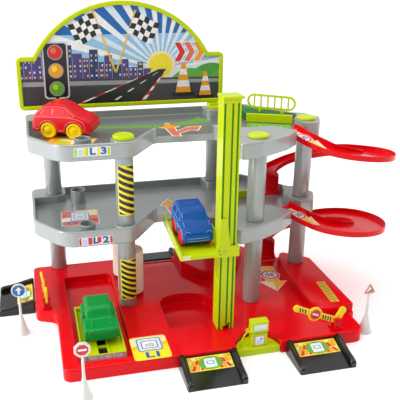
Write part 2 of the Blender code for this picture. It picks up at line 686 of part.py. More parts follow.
# ---------------------------------------------------------------- service tray
TRAY = (14.0, 78.0, -291.0, -150.0)
x0, x1, y0, y1 = TRAY
tz = BAY + GAP
tray = box("service_tray", x0, x1, y0, y1, tz, tz + 9.5)
cut(tray, box("tray_pocket", x0 + 2.2, x1 - 2.2, y0 - 5, y1 - 6, tz + 3.0, tz + 30),
    box("tray_slot_a", 39.5, 52.5, -282, -263, tz - 5, tz + 30),
    box("tray_slot_b", 39.5, 52.5, -258, -236, tz - 5, tz + 30),
    box("tray_slot_c", 39.5, 52.5, -231, -180, tz - 5, tz + 30))
join(tray, box("tray_front", x0, x1, y0, y0 + 2.2, tz, tz + 9.5),
     box("tray_rib_l", 36.8, 39.0, y0 + 1, y1 - 2, tz + 1, tz + 5.0),
     box("tray_rib_r", 53.0, 55.2, y0 + 1, y1 - 2, tz + 1, tz + 5.0))
paint(tray, "lime")

# ---------------------------------------------------------------- wash rollers
for name, x, y, r, h in (("front", 112.0, -125.0, 21.0, 76.0), ("rear", 111.0, -60.0, 20.0, 112.0)):
    pin = turned("roller_pin_" + name, x, y,
                 [(0, FLOOR + 6 + h + 1.5), (3.0, FLOOR + 6 + h + 1.5), (3.0, FLOOR + 3.0),
                  (8.0, FLOOR + 3.0), (8.0, FLOOR + GAP), (0, FLOOR + GAP)], 12)
    smooth(paint(pin, "cream"))
    z0, z1 = FLOOR + 3.5, FLOOR + 4 + h
    ro = turned("wash_roller_" + name, 0, 0,
                [(r - 3, z1 - z0), (r, z1 - z0 - 3), (r, 3.0), (r - 3, 0.0), (3.4, 0.0), (3.4, z1 - z0)],
                28, closed=True)
    smooth(paint(at(ro, x, y, z0), "cream"))

# ---------------------------------------------------------------- barriers
def barrier(tag, px, py, pz, rz, rest):
    """Arm in its own XZ plane, swinging about its local Y axis at the origin."""
    root = bpy.data.objects.new("barrier_%s_axis" % tag, None)
    PARTS.objects.link(root)
    at(root, px, py, pz, rz)
    t = 1.9
    arm = prism("barrier_arm_" + tag, [(CX - 3, CY - 4.4), (CX + 72, CY - 4.4), (CX + 74, CY),
                                       (CX + 72, CY + 4.4), (CX - 3, CY + 4.4)], -t, t)
    disc = cyl("barrier_disc_" + tag, CX + 39, CY, -t, t, 11.2, 20)
    tip = cyl("barrier_tip_" + tag, CX + 72, CY, -t, t, 5.4, 14)
    hub = cyl("barrier_hub_" + tag, CX, CY, -t, t, 6.2, 14)
    handle = prism("barrier_handle_" + tag, [(CX + 5.0, CY + 1.0), (CX + 3.0, CY + 18.0),
                                             (CX - 7.0, CY + 18.5), (CX - 5.5, CY - 1.0)], -t, t)
    knob = cyl("barrier_knob_" + tag, CX - 2.0, CY + 18.5, -t, t, 5.8, 14)
    bore = cyl("barrier_bore_" + tag, CX, CY, -9, 9, 2.4, 12)
    join(arm, disc, tip, hub, handle, knob)
    cut(arm, bore)
    flat = Matrix.Rotation(math.radians(90), 4, "X")
    turn = Matrix.Rotation(math.radians(-rest), 4, "Y")
    for ob in (arm, disc, tip, hub, handle, knob, bore):
        m = Matrix.LocRotScale(ob.location, ob.rotation_euler, None)
        ob.parent = root
        ob.matrix_parent_inverse = Matrix.Identity(4)
        ob.matrix_local = turn @ flat @ m
    paint(arm, "yellow")
    # forked post: two cheeks on a foot, and the pin through them
    post = box("barrier_post_" + tag, CX - 8, CX + 8, CY - 8, CY + 8, FLOOR + GAP, FLOOR + 3.0)
    cheek_a = box("cheek_a_" + tag, CX - 5, CX + 5, CY - 5.4, CY - 2.6, FLOOR + 1, pz + 5)
    cheek_b = box("cheek_b_" + tag, CX - 5, CX + 5, CY + 2.6, CY + 5.4, FLOOR + 1, pz + 5)
    hole = rod("post_bore_" + tag, (CX, CY - 20, pz), (CX, CY + 20, pz), 2.4)
    pin = rod("barrier_pin_" + tag, (CX, CY - 7.0, pz), (CX, CY + 7.0, pz), 2.0)
    spin = Matrix.Rotation(math.radians(rz), 4, "Z")
    for ob in (post, cheek_a, cheek_b, hole, pin):
        rot = ob.rotation_quaternion if ob.rotation_mode == "QUATERNION" else ob.rotation_euler
        m = Matrix.LocRotScale(ob.location, rot, None)
        ob.matrix_world = Matrix.Translation(((px - CX) * MM, (py - CY) * MM, 0)) @ spin @ m
    join(post, cheek_a, cheek_b)
    cut(post, hole)
    paint(post, "red")
    paint(pin, "red")
    return root


PIVOT_H = 13.4
barrier("right", 396.8, -306.0, FLOOR + PIVOT_H, 180.0, 23.5)
barrier("left", -28.0, -143.0, FLOOR + PIVOT_H, 94.0, 7.0)

# ---------------------------------------------------------------- cars
def car(tag, x, y, z, rz, colour, wheel_colour, profile, half):
    """Side profile as (along, up, half width) from the ground, nose at +X."""
    root = bpy.data.objects.new("%s_car_axis" % tag, None)
    PARTS.objects.link(root)
    at(root, x, y, z, rz)
    rings = []
    # the body is skinned across its width from five side outlines
    for f, k in ((-1.0, 0.86), (-0.86, 1.0), (0.0, 1.02), (0.86, 1.0), (1.0, 0.86)):
        ring = []
        for a, u, tuck in profile:
            mid_u = 22.0
            ring.append((a * (0.97 if abs(f) == 1.0 else 1.0) + CX,
                         f * (half - tuck) + CY,
                         mid_u + (u - mid_u) * (0.93 if abs(f) == 1.0 else 1.0)))
        rings.append(ring)
    body = loft(tag + "_car_body", rings)
    body.parent = root
    tools = []
    for s in (-1, 1):
        for w in (-1, 1):
            tools.append(rod("well", (CX + s * WHEELBASE / 2, CY + w * (half - 8.8), WHEEL_R),
                             (CX + s * WHEELBASE / 2, CY + w * (half + 9), WHEEL_R),
                             WHEEL_R + 1.6, 14))
        tools.append(rod("axle_bore", (CX + s * WHEELBASE / 2, CY - half - 5, WHEEL_R),
                         (CX + s * WHEELBASE / 2, CY + half + 5, WHEEL_R), 2.0, 10))
    for t in tools:
        t.parent = root
    cut(body, *tools)
    paint(body, colour)
    for s, end in ((1, "front"), (-1, "rear")):
        mesh = bpy.data.meshes.new("wheelset")
        bm = bmesh.new()
        turn = Matrix.Rotation(math.radians(90), 4, "X")
        bmesh.ops.create_cone(bm, cap_ends=True, segments=10, radius1=1.6 * MM, radius2=1.6 * MM,
                              depth=2 * (half - 4) * MM, matrix=turn)
        bm.to_mesh(mesh)
        bm.free()
        ws = link("%s_%s_wheels" % (tag, end), mesh)
        ws.parent = root
        ws.location = (s * WHEELBASE / 2 * MM, 0.0, WHEEL_R * MM)
        for w in (-1, 1):
            c = w * (half - 8.0 + 3.5) * MM
            wm = bpy.data.meshes.new("wheel")
            bm = bmesh.new()
            bmesh.ops.create_cone(bm, cap_ends=True, segments=18, radius1=WHEEL_R * MM,
                                  radius2=WHEEL_R * MM, depth=7.0 * MM,
                                  matrix=Matrix.Translation((0, c, 0)) @ turn)
            bm.to_mesh(wm)
            bm.free()
            wh = link("wheel_tool", wm)
            wh.parent = root
            wh.location = ws.location
            boolean(ws, wh, "UNION")
        smooth(paint(ws, wheel_colour))
    return root


# side outlines run counterclockwise seen from the car's right, as (along, up, tuck)
SALOON = [(-46, 10, 2), (44, 9, 2), (48, 14, 1), (47, 25, 1), (37, 32, 1), (24, 37, 1.5),
          (7, 50, 6), (-8, 54, 7), (-28, 51, 6.5), (-41, 38, 2.5), (-47, 27, 1), (-47.5, 15, 1)]
VAN = [(-41, 10, 2), (37, 9, 2), (41, 14, 1), (40, 25, 1), (31, 31, 1), (19, 37, 1.5),
       (9, 49, 5), (-4, 52, 5.5), (-32, 52, 5.5), (-39, 48, 5), (-43, 28, 1), (-43, 15, 1)]
JEEP = [(-44, 11, 1), (44, 10, 1), (46.5, 13, 1), (46, 29, 1), (20, 32, 1.5), (14, 46, 6),
        (4, 49, 6.5), (-24, 49, 6.5), (-27, 40, 5), (-42, 39, 4), (-46, 28, 1), (-46.5, 15, 1)]

L3_FLOOR = DECKS[3] + DECK_FLOOR
car("red", 24.5, -74.5, L3_FLOOR + GAP, -24.0, "red", "yellow", SALOON, 27.0)
car("blue", 193.6, -211.0, LIFT_Z + GAP, -90.0, "blue", "red", VAN, 24.5)
car("green", 47.4, -217.0, tz + 3.0 + GAP, -90.0, "green", "green", JEEP, 25.4)

# ---------------------------------------------------------------- roof railing
rail = bpy.data.objects.new("railing_axis", None)
PARTS.objects.link(rail)
at(rail, 374.8, -49.1, 0.0, -37.0)
ZR = L3_FLOOR + 12.4


def oval(w, h, n=8):
    r = h / 2
    return (circle(w / 2 - r, 0, r, n, -90, 90) + circle(-w / 2 + r, 0, r, n, 90, 270))


def standing(name, pts, y0, y1, z, holes=()):
    """Extrude an outline drawn as (along, up) and stand it on the railing's line."""
    ob = prism(name, [(a + CX, u + CY) for a, u in pts], y0, y1,
               [[(a + CX, u + CY) for a, u in hole] for hole in holes])
    m = ob.matrix_world.copy()
    ob.parent = rail
    ob.matrix_local = Matrix.Translation((0, 0, z * MM)) @ Matrix.Rotation(math.radians(90), 4, "X") @ m
    return ob


railing = standing("roof_railing", oval(86.5, 25), -1.6, 1.6, ZR + 18.0, [oval(79.5, 18)])
for i in range(6):
    a = -30 + 12 * i
    join(railing, standing("rail_bar_%d" % i, [(a - 1.2, -10), (a + 1.2, -10), (a + 1.2, 10), (a - 1.2, 10)],
                           -1.3, 1.3, ZR + 18.0))
for a in (-20, 20):
    join(railing, standing("rail_foot_%d" % a, [(a - 2.5, -17.7), (a + 2.5, -17.7), (a + 2.5, -10), (a - 2.5, -10)],
                           -1.5, 1.5, ZR + 18.0))
paint(railing, "lime")
stand = prism("railing_stand", fillet([(330, -43, 2), (396, -70, 2), (399, -58, 2), (352, 2, 4), (334, 2, 4)], 2),
              L3_FLOOR + GAP, ZR)
paint(stand, "dark_green")
beam = prism("railing_beam", [(328.0, -56.0), (400.0, -86.4), (402.2, -80.6), (330.2, -50.0)],
             L3_FLOOR + GAP, ZR + 2.0)
paint(beam, "lime")
stop = box("wheel_stop", 300, 343, -66, -58, DECKS[2] + DECK_FLOOR + GAP, DECKS[2] + DECK_FLOOR + 13)
paint(stop, "lime")

# ---------------------------------------------------------------- road signs
def road_sign(name, x, y, kind, rz):
    ob = turned(name, 0, 0, [(0, 68), (1.9, 68), (2.2, 30), (9.5, 6.0), (11.0, 1.5), (11.0, 0.0), (0, 0.0)], 16)
    at(ob, x, y, 0.0, rz)
    if kind == "round":
        pts = circle(0, 0, 11.0, 24)
    elif kind == "octagon":
        pts = circle(0, 0, 11.6, 8, 22.5, 382.5)
    else:
        pts = fillet([(-11.5, -8, 2.5), (11.5, -8, 2.5), (0, 12, 2.5)], 3)
    plate = prism(name + "_plate", [(a + CX, u + CY) for a, u in pts], -1.3, 1.3)
    m = plate.matrix_world.copy()
    plate.matrix_world = (Matrix.Translation(((x - CX) * MM, (y - CY) * MM, 0.0))
                          @ Matrix.Rotation(math.radians(rz), 4, "Z")
                          @ Matrix.Translation((0, 0, 75 * MM))
                          @ Matrix.Rotation(math.radians(90), 4, "X") @ m)
    join(ob, plate)
    return paint(ob, "white")


road_sign("road_sign_round", -68.0, -180.0, "round", 0)
road_sign("road_sign_octagon", 11.0, -358.0, "octagon", 0)
road_sign("road_sign_triangle", 453.0, -297.0, "triangle", 0)
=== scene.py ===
import math

import bmesh
import bpy
from mathutils import Matrix, Vector


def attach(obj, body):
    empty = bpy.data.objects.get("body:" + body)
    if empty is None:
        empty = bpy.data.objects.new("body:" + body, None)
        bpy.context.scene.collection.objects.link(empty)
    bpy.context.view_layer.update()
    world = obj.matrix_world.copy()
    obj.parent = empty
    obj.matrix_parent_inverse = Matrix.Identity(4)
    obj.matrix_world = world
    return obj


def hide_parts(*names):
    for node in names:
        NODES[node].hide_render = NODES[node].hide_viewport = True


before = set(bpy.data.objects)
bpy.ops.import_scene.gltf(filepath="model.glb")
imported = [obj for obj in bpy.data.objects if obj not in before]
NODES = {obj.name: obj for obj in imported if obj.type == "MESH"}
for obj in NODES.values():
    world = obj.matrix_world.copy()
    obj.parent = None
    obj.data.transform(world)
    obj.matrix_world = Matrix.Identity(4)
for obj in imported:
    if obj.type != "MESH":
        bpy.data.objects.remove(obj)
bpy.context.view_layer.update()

MM = 0.001
CX, CY = 221.27, -163.85          # the toy's middle, in the plan sketch (mm)

# ------------------------------------------------------------ key sizes (mm)
FLOOR, WALL, BLOCK_R, BLOCK_B, BAY, PIT = 20.0, 2.5, 34.0, 37.0, 8.0, 3.0
DECKS = {2: 137.0, 3: 272.0}
RIM, DECK_FLOOR = 25.0, 12.0
COLUMNS = {1: (0.0, 0.0), 2: (101.0, -160.0), 3: (290.0, 8.0),
           4: (300.0, -194.0), 5: (416.0, -105.0)}
FOOT = {1: FLOOR, 2: FLOOR, 3: BLOCK_B, 4: FLOOR, 5: BLOCK_R}
TOP = DECKS[3] + RIM
TOWER = (219.5, 244.5, -272.0, -246.0)
TOWER_TOP = 372.0
LIFT_Z = 149.0


# ------------------------------------------------------------ materials
def nodes_of(name):
    m = bpy.data.materials.new(name)
    m.use_nodes = True
    t = m.node_tree
    return m, t, t.nodes["Principled BSDF"]


def math_node(t, op, a, b=None, c=None):
    n = t.nodes.new("ShaderNodeMath")
    n.operation = op
    for i, v in enumerate((a, b, c)):
        if v is None:
            continue
        if isinstance(v, (int, float)):
            n.inputs[i].default_value = v
        else:
            t.links.new(v, n.inputs[i])
    return n.outputs[0]


def mix_colour(t, fac, a, b, blend="MIX"):
    n = t.nodes.new("ShaderNodeMix")
    n.data_type = "RGBA"
    n.blend_type = blend
    if isinstance(fac, (int, float)):
        n.inputs[0].default_value = fac
    else:
        t.links.new(fac, n.inputs[0])
    for i, v in ((6, a), (7, b)):
        if isinstance(v, tuple):
            n.inputs[i].default_value = (*v, 1.0)
        else:
            t.links.new(v, n.inputs[i])
    return n.outputs[2]


def noise(t, vec, scale, detail=3.0, rough=0.5):
    n = t.nodes.new("ShaderNodeTexNoise")
    n.inputs["Scale"].default_value = scale
    n.inputs["Detail"].default_value = detail
    n.inputs["Roughness"].default_value = rough
    t.links.new(vec, n.inputs["Vector"])
    return n.outputs["Fac"]


def span(t, val, lo, hi, a, b):
    n = t.nodes.new("ShaderNodeMapRange")
    n.inputs["From Min"].default_value = lo
    n.inputs["From Max"].default_value = hi
    n.inputs["To Min"].default_value = a
    n.inputs["To Max"].default_value = b
    t.links.new(val, n.inputs["Value"])
    return n.outputs["Result"]


def plastic(name, rgb, rough=0.25, deep=None, coat=0.0, metal=0.0, grain=0.04, painted_flake_glint=0.0,
            spec=0.5, vary=0.10, sss=0.0, painted_dark_floors=()):
    """Moulded plastic: cloudy colour, fine mould texture, uneven gloss, light handling marks."""
    m, t, b = nodes_of(name)
    tc = t.nodes.new("ShaderNodeTexCoord").outputs["Object"]
    if deep is None:
        deep = tuple(c * (1.0 - vary) for c in rgb)
    cloud = noise(t, tc, 14.0, 4.0, 0.55)
    speck = noise(t, tc, 900.0, 2.0, 0.6)
    col = mix_colour(t, span(t, cloud, 0.3, 0.7, 0.0, 1.0), deep, rgb)
    col = mix_colour(t, span(t, speck, 0.45, 0.8, 0.0, 0.25), col, tuple(min(1.0, c * 1.12 + 0.012) for c in rgb))
    # metal flakes: spots of lighter colour, partly the flakes in the plastic and partly painted glints
    if painted_flake_glint:
        vo = t.nodes.new("ShaderNodeTexVoronoi")
        vo.inputs["Scale"].default_value = 2600.0
        t.links.new(tc, vo.inputs["Vector"])
        col = mix_colour(t, span(t, vo.outputs["Color"], 0.55, 0.95, 0.0, painted_flake_glint), col,
                         tuple(min(1.0, c * 1.9) for c in rgb))
    for height, painted_shade_amount in painted_dark_floors:
        # painted shade: the tray floors at these heights are darkened by a given amount, the upper deck's most, in
        # place of the dark reflections and shade on them
        sep = t.nodes.new("ShaderNodeSeparateXYZ")
        t.links.new(tc, sep.inputs[0])
        up = t.nodes.new("ShaderNodeSeparateXYZ")
        t.links.new(t.nodes.new("ShaderNodeNewGeometry").outputs["Normal"], up.inputs[0])
        on = math_node(t, "MULTIPLY", math_node(t, "COMPARE", sep.outputs[2], height, 0.0006),
                       math_node(t, "GREATER_THAN", up.outputs[2], 0.9))
        col = mix_colour(t, math_node(t, "MULTIPLY", on, painted_shade_amount), col, tuple(c * 0.28 for c in rgb))
    t.links.new(col, b.inputs["Base Color"])
    # thin scuffs: stretched noise lifts the roughness in streaks
    mp = t.nodes.new("ShaderNodeMapping")
    mp.inputs["Scale"].default_value = (1.0, 9.0, 5.0)
    mp.inputs["Rotation"].default_value = (0.3, 0.2, 0.7)
    t.links.new(tc, mp.inputs["Vector"])
    scuff = noise(t, mp.outputs["Vector"], 46.0, 5.0, 0.65)
    r1 = span(t, cloud, 0.25, 0.75, rough * 0.92, rough * 1.08)
    r2 = span(t, scuff, 0.66, 0.86, 0.0, 0.06)
    t.links.new(math_node(t, "ADD", r1, r2), b.inputs["Roughness"])
    bump = t.nodes.new("ShaderNodeBump")
    bump.inputs["Strength"].default_value = grain
    bump.inputs["Distance"].default_value = 0.0006
    t.links.new(math_node(t, "ADD", speck, math_node(t, "MULTIPLY", noise(t, tc, 60.0, 2.0), 0.8)),
                bump.inputs["Height"])
    t.links.new(bump.outputs["Normal"], b.inputs["Normal"])
    b.inputs["Metallic"].default_value = metal
    b.inputs["Specular IOR Level"].default_value = spec
    if coat:
        b.inputs["Coat Weight"].default_value = coat
        b.inputs["Coat Roughness"].default_value = 0.06
    if sss:
        b.inputs["Subsurface Weight"].default_value = sss
        b.inputs["Subsurface Radius"].default_value = (0.004, 0.003, 0.002)
        b.inputs["Subsurface Scale"].default_value = 1.0
    return m


def printed(name, rgb, rough=0.32, vary=0.12):
    """Printed label film: slight ink mottling and a faint paper tooth."""
    m, t, b = nodes_of(name)
    tc = t.nodes.new("ShaderNodeTexCoord").outputs["Object"]
    ink = noise(t, tc, 220.0, 4.0, 0.6)
    col = mix_colour(t, span(t, ink, 0.35, 0.7, 0.0, 1.0), tuple(c * (1 - vary) for c in rgb), rgb)
    t.links.new(col, b.inputs["Base Color"])
    t.links.new(span(t, noise(t, tc, 90.0, 3.0), 0.3, 0.7, rough * 0.8, rough * 1.25), b.inputs["Roughness"])
    bump = t.nodes.new("ShaderNodeBump")
    bump.inputs["Strength"].default_value = 0.03
    bump.inputs["Distance"].default_value = 0.0003
    t.links.new(ink, bump.inputs["Height"])
    t.links.new(bump.outputs["Normal"], b.inputs["Normal"])
    return m


RED = plastic("red_moulded", (0.74, 0.0008, 0.006), 0.15, deep=(0.76, 0.0005, 0.005), coat=0.0, spec=0.2, grain=0.02)
RED_CAR = plastic("red_car_paint", (0.76, 0.004, 0.010), 0.24, deep=(0.70, 0.003, 0.008), coat=0.0, spec=0.3, grain=0.02)
# painted highlight: the seam beads are a lighter, pinkish red that stands in for the glints along the car's edges
RED_SEAM_PAINTED_HIGHLIGHT = plastic("red_car_seam_painted_highlight", (0.92, 0.20, 0.21), 0.3, deep=(0.88, 0.16, 0.17), grain=0.02)
# painted light: the window panels are a lighter red, standing in for the light on the car's inward-leaning upper sides
RED_PANE_PAINTED_LIGHT = plastic("red_car_window_painted_light", (0.84, 0.06, 0.07), 0.15, deep=(0.80, 0.05, 0.06), grain=0.01)
# painted shade: this material darkens the decks' tray floors, the upper deck's strongly, in place of their reflections
# and shade
GREY = plastic("silver_grey_moulded", (0.37, 0.398, 0.392), 0.25, deep=(0.35, 0.377, 0.371), metal=0.3,
               painted_flake_glint=0.10, grain=0.025, vary=0.04, painted_dark_floors=((0.1490, 0.12), (0.2840, 0.62)))
GREY_COL = plastic("silver_grey_tube", (0.36, 0.388, 0.382), 0.22, deep=(0.345, 0.372, 0.367), metal=0.25,
                   painted_flake_glint=0.08, grain=0.012, vary=0.03)
LIME = plastic("lime_moulded", (0.53, 0.64, 0.0015), 0.27, deep=(0.51, 0.63, 0.001), coat=0.0, spec=0.2, sss=0.0)
LIME_PAINTED_SHADE = plastic("lime_in_shade", (0.045, 0.33, 0.003), 0.4, deep=(0.03, 0.26, 0.002), spec=0.2)
BLACK_DULL = plastic("black_moulded_dull", (0.042, 0.046, 0.043), 0.5, deep=(0.036, 0.04, 0.037), coat=0.0,
                     grain=0.03, spec=0.1)
BLACK = plastic("black_moulded", (0.006, 0.007, 0.007), 0.12, deep=(0.004, 0.005, 0.005), coat=0.1, grain=0.03, spec=0.45)
CREAM = plastic("cream_foam", (0.95, 0.90, 0.76), 0.62, deep=(0.91, 0.85, 0.69), grain=0.25)
YELLOW = plastic("yellow_moulded", (0.95, 0.66, 0.0), 0.24, deep=(0.92, 0.60, 0.0), coat=0.0, spec=0.3)
BLUE = plastic("blue_car_paint", (0.0002, 0.072, 0.34), 0.12, deep=(0.0002, 0.064, 0.31), coat=0.0, spec=0.25, grain=0.015)
# painted highlight: the seam beads are a lighter blue that stands in for the glints along the car's edges
BLUE_SEAM_PAINTED_HIGHLIGHT = plastic("blue_car_seam_painted_highlight", (0.12, 0.36, 0.76), 0.2, deep=(0.10, 0.32, 0.70), grain=0.015)
RED_WHEEL = plastic("red_wheel", (0.80, 0.006, 0.012), 0.25, spec=0.35)
GREEN = plastic("green_car_paint", (0.0, 0.29, 0.045), 0.16, deep=(0.0, 0.27, 0.040), coat=0.0, spec=0.2, grain=0.02)
# painted highlight: the seam beads are a lighter green that stands in for the glints along the car's edges
GREEN_SEAM_PAINTED_HIGHLIGHT = plastic("green_car_seam_painted_highlight", (0.03, 0.42, 0.11), 0.2, deep=(0.025, 0.39, 0.10), grain=0.02)
WHITE = plastic("white_moulded", (0.735, 0.735, 0.715), 0.32, deep=(0.70, 0.70, 0.68), grain=0.02)
DARK_GREEN = plastic("dark_green_mat", (0.01, 0.19, 0.02), 0.5, deep=(0.006, 0.15, 0.014), spec=0.12)

INK = {
    "white": printed("ink_white", (0.9, 0.9, 0.9)),
    "black": printed("ink_black", (0.012, 0.012, 0.014), 0.3),
    "yellow": printed("ink_yellow", (0.95, 0.78, 0.02)),
    "orange": printed("ink_orange", (0.93, 0.36, 0.01)),
    "gold": printed("ink_gold", (0.9, 0.55, 0.01)),
    "cream": printed("ink_cream", (0.93, 0.82, 0.45)),
    "red": printed("ink_red", (0.72, 0.015, 0.02)),
    "coral": printed("ink_coral", (0.78, 0.16, 0.09)),
    "blue": printed("ink_blue", (0.008, 0.13, 0.44)),
    "sky": printed("ink_sky", (0.30, 0.58, 0.85)),
    "pale": printed("ink_pale", (0.72, 0.84, 0.93)),
    "green": printed("ink_green", (0.06, 0.36, 0.03)),
    "leaf": printed("ink_leaf", (0.13, 0.42, 0.04)),
    "lime": printed("ink_lime", (0.55, 0.68, 0.02)),
    "violet": printed("ink_violet", (0.07, 0.05, 0.22)),
    "navy": printed("ink_navy", (0.015, 0.04, 0.16)),
    "asphalt": printed("ink_asphalt", (0.045, 0.048, 0.052)),
    "grey": printed("ink_grey", (0.32, 0.34, 0.36)),
    "silver": printed("ink_silver", (0.6, 0.63, 0.66)),
    "brown": printed("ink_brown", (0.24, 0.10, 0.02)),
}


# ------------------------------------------------------------ mesh helpers
def link(name, mesh):
    ob = bpy.data.objects.new(name, mesh)
    bpy.context.scene.collection.objects.link(ob)
    return ob


def from_bm(name, bm):
    bmesh.ops.recalc_face_normals(bm, faces=bm.faces)
    me = bpy.data.meshes.new(name)
    bm.to_mesh(me)
    bm.free()
    return link(name, me)


def W(x, y, z):
    return Vector(((x - CX) * MM, (y - CY) * MM, z * MM))


def baked(ob):
    """Apply the modifiers and the placing, and drop the tools that were used."""
    bpy.context.view_layer.update()
    dg = bpy.context.evaluated_depsgraph_get()
    me = bpy.data.meshes.new_from_object(ob.evaluated_get(dg), depsgraph=dg)
    me.transform(ob.matrix_world)
    tools = [m.object for m in ob.modifiers if m.type == "BOOLEAN"]
    ob.modifiers.clear()
    ob.data = me
    ob.parent = None
    ob.matrix_world = Matrix.Identity(4)
    for t in tools:
        bpy.data.objects.remove(t, do_unlink=True)
    return ob


def boolean(ob, op, *tools):
    for t in tools:
        if t.modifiers:
            baked(t)
        m = ob.modifiers.new(op, "BOOLEAN")
        m.operation = op
        m.object = t
        m.solver = "EXACT"
    return ob


def join(ob, *tools):
    return boolean(ob, "UNION", *tools)


def cut(ob, *tools):
    return boolean(ob, "DIFFERENCE", *tools)


def finish(ob, mat, body, replaces=(), angle=38, weighted=True):
    if ob.modifiers:
        baked(ob)
    me = ob.data
    me.materials.clear()
    me.materials.append(mat)
    me.polygons.foreach_set("material_index", [0] * len(me.polygons))
    me.shade_smooth()
    me.set_sharp_from_angle(angle=math.radians(angle))
    if weighted:
        w = ob.modifiers.new("even_shading", "WEIGHTED_NORMAL")
        w.keep_sharp = True
    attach(ob, body)
    if replaces:
        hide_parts(*replaces)
    return ob


def round_corners(corners, n=6):
    """Corners (x, y, r) to points; a corner always gives the same number of points."""
    pts = []
    count = len(corners)
    for i, c in enumerate(corners):
        x, y, r = c[:3]
        sharp = (c[3] if len(c) > 3 else r <= 0.01)
        p = Vector((x, y))
        a = Vector(corners[i - 1][:2]) - p
        b = Vector(corners[(i + 1) % count][:2]) - p
        if sharp:
            pts.append((x, y))
            continue
        r = max(r, 0.05)
        la, lb = a.length, b.length
        a.normalize()
        b.normalize()
        half = math.acos(max(-1, min(1, a.dot(b)))) / 2
        d = min(r / math.tan(half), la * 0.49, lb * 0.49)
        rr = d * math.tan(half)
        centre = p + (a + b).normalized() * (rr / math.sin(half))
        s, e = p + a * d - centre, p + b * d - centre
        a0 = math.atan2(s.y, s.x)
        turn = math.pi - 2 * half
        da = math.atan2(e.y, e.x) - a0
        while da > math.pi:
            da -= 2 * math.pi
        while da < -math.pi:
            da += 2 * math.pi
        steps = max(1, round(n * turn / (math.pi / 2)))
        for k in range(steps + 1):
            t = a0 + da * k / steps
            pts.append((centre.x + rr * math.cos(t), centre.y + rr * math.sin(t)))
    return pts


def offset(corners, d):
    """Move a counterclockwise outline of corners inwards by d."""
    out = []
    count = len(corners)
    for i in range(count):
        p0, p1, p2 = (Vector(corners[j % count][:2]) for j in (i - 1, i, i + 1))
        e0, e1 = (p1 - p0).normalized(), (p2 - p1).normalized()
        n0, n1 = Vector((-e0.y, e0.x)), Vector((-e1.y, e1.x))
        n = (n0 + n1).normalized()
        q = p1 + n * (d / max(0.3, n.dot(n0)))
        bend = e0.x * e1.y - e0.y * e1.x
        r = corners[i][2]
        sharp = corners[i][3] if len(corners[i]) > 3 else r <= 0.01
        out.append((q.x, q.y, max(0.0, r - d) if bend > 0 else max(0.0, r + d), sharp))
    return out


def circle(x, y, r, n=48, a0=0.0, a1=360.0):
    full = abs(a1 - a0 - 360.0) < 1e-6
    steps = n if full else n + 1
    return [(x + r * math.cos(math.radians(a0 + (a1 - a0) * k / n)),
             y + r * math.sin(math.radians(a0 + (a1 - a0) * k / n)))
            for k in range(steps)]


def skin(name, rings, caps=True, closed=False, place=W):
    """Skin matching rings of points (sketch mm)."""
    bm = bmesh.new()
    vs = [[bm.verts.new(place(*p)) for p in ring] for ring in rings]
    n = len(rings[0])
    pairs = list(zip(vs, vs[1:])) + ([(vs[-1], vs[0])] if closed else [])
    for a, b in pairs:
        for k in range(n):
            j = (k + 1) % n
            bm.faces.new((a[k], a[j], b[j], b[k]))
    if caps and not closed:
        bm.faces.new(vs[0][::-1])
        bm.faces.new(vs[-1])
    return from_bm(name, bm)


def stack(name, corners, layers, n=6):
    """A solid from one outline: layers of (inset, height), from the bottom up."""
    rings = []
    for d, z in layers:
        pts = round_corners(offset([(*c[:3], c[2] <= 0.01) for c in corners], d), n)
        rings.append([(x, y, z) for x, y in pts])
    return skin(name, rings)


def disc_stack(name, x, y, layers, n=56):
    return skin(name, [[(px, py, z) for px, py in circle(x, y, r, n)] for r, z in layers])


def round_top(r, z, n=3, base=0.0):
    """Layers of an edge rounded by r that ends at height z (inset grows)."""
    return [(base + r * (1 - math.cos(t)), z - r + r * math.sin(t))
            for t in [math.pi / 2 * k / n for k in range(n + 1)]]


def round_bottom(r, z, n=2):
    return [(r * (1 - math.sin(t)), z + r * (1 - math.cos(t)))
            for t in [math.pi / 2 * k / n for k in range(n + 1)]]


def recess_layers(z, top, foot=1.5, lip=1.0):
    """Layers of a cutter: rounded foot, straight wall, and a lip that opens out."""
    out = [(foot * (1 - math.sin(t)), z + foot * (1 - math.cos(t))) for t in (0, 0.52, 1.05, math.pi / 2)]
    out += [(0.0, top - lip), (-lip * 0.13, top - lip * 0.5), (-lip * 0.5, top - lip * 0.13), (-lip, top + 0.02)]
    return out + [(-lip, top + 30.0)]


def box(name, x0, x1, y0, y1, z0, z1, r=0.0, seg=2):
    bm = bmesh.new()
    bmesh.ops.create_cube(bm, size=1.0)
    for v in bm.verts:
        v.co = W(x0 if v.co.x < 0 else x1, y0 if v.co.y < 0 else y1, z0 if v.co.z < 0 else z1)
    if r:
        bmesh.ops.bevel(bm, geom=bm.edges[:], offset=r * MM, segments=seg, profile=0.5, affect="EDGES")
    return from_bm(name, bm)


def cyl(name, x, y, z0, z1, r, n=48):
    return disc_stack(name, x, y, [(r, z0), (r, z1)], n)


def turned(name, x, y, profile, n=64, closed=False):
    """Turn (radius, height) points about an upright line at x, y."""
    bm = bmesh.new()
    rings = []
    for r, z in profile:
        if r < 1e-6:
            rings.append([bm.verts.new(W(x, y, z))])
        else:
            rings.append([bm.verts.new(W(px, py, z)) for px, py in circle(x, y, r, n)])
    pairs = list(zip(rings, rings[1:])) + ([(rings[-1], rings[0])] if closed else [])
    for a, b in pairs:
        for k in range(n):
            j = (k + 1) % n
            if len(a) == 1:
                bm.faces.new((a[0], b[j], b[k]))
            elif len(b) == 1:
                bm.faces.new((a[k], a[j], b[0]))
            else:
                bm.faces.new((a[k], a[j], b[j], b[k]))
    return from_bm(name, bm)


def upright(corner_rings, name, closed=True):
    """Rings of (x, z) outlines, each at its own depth y."""
    return skin(name, [[(x, y, z) for x, z in ring] for ring, y in corner_rings], closed=closed)


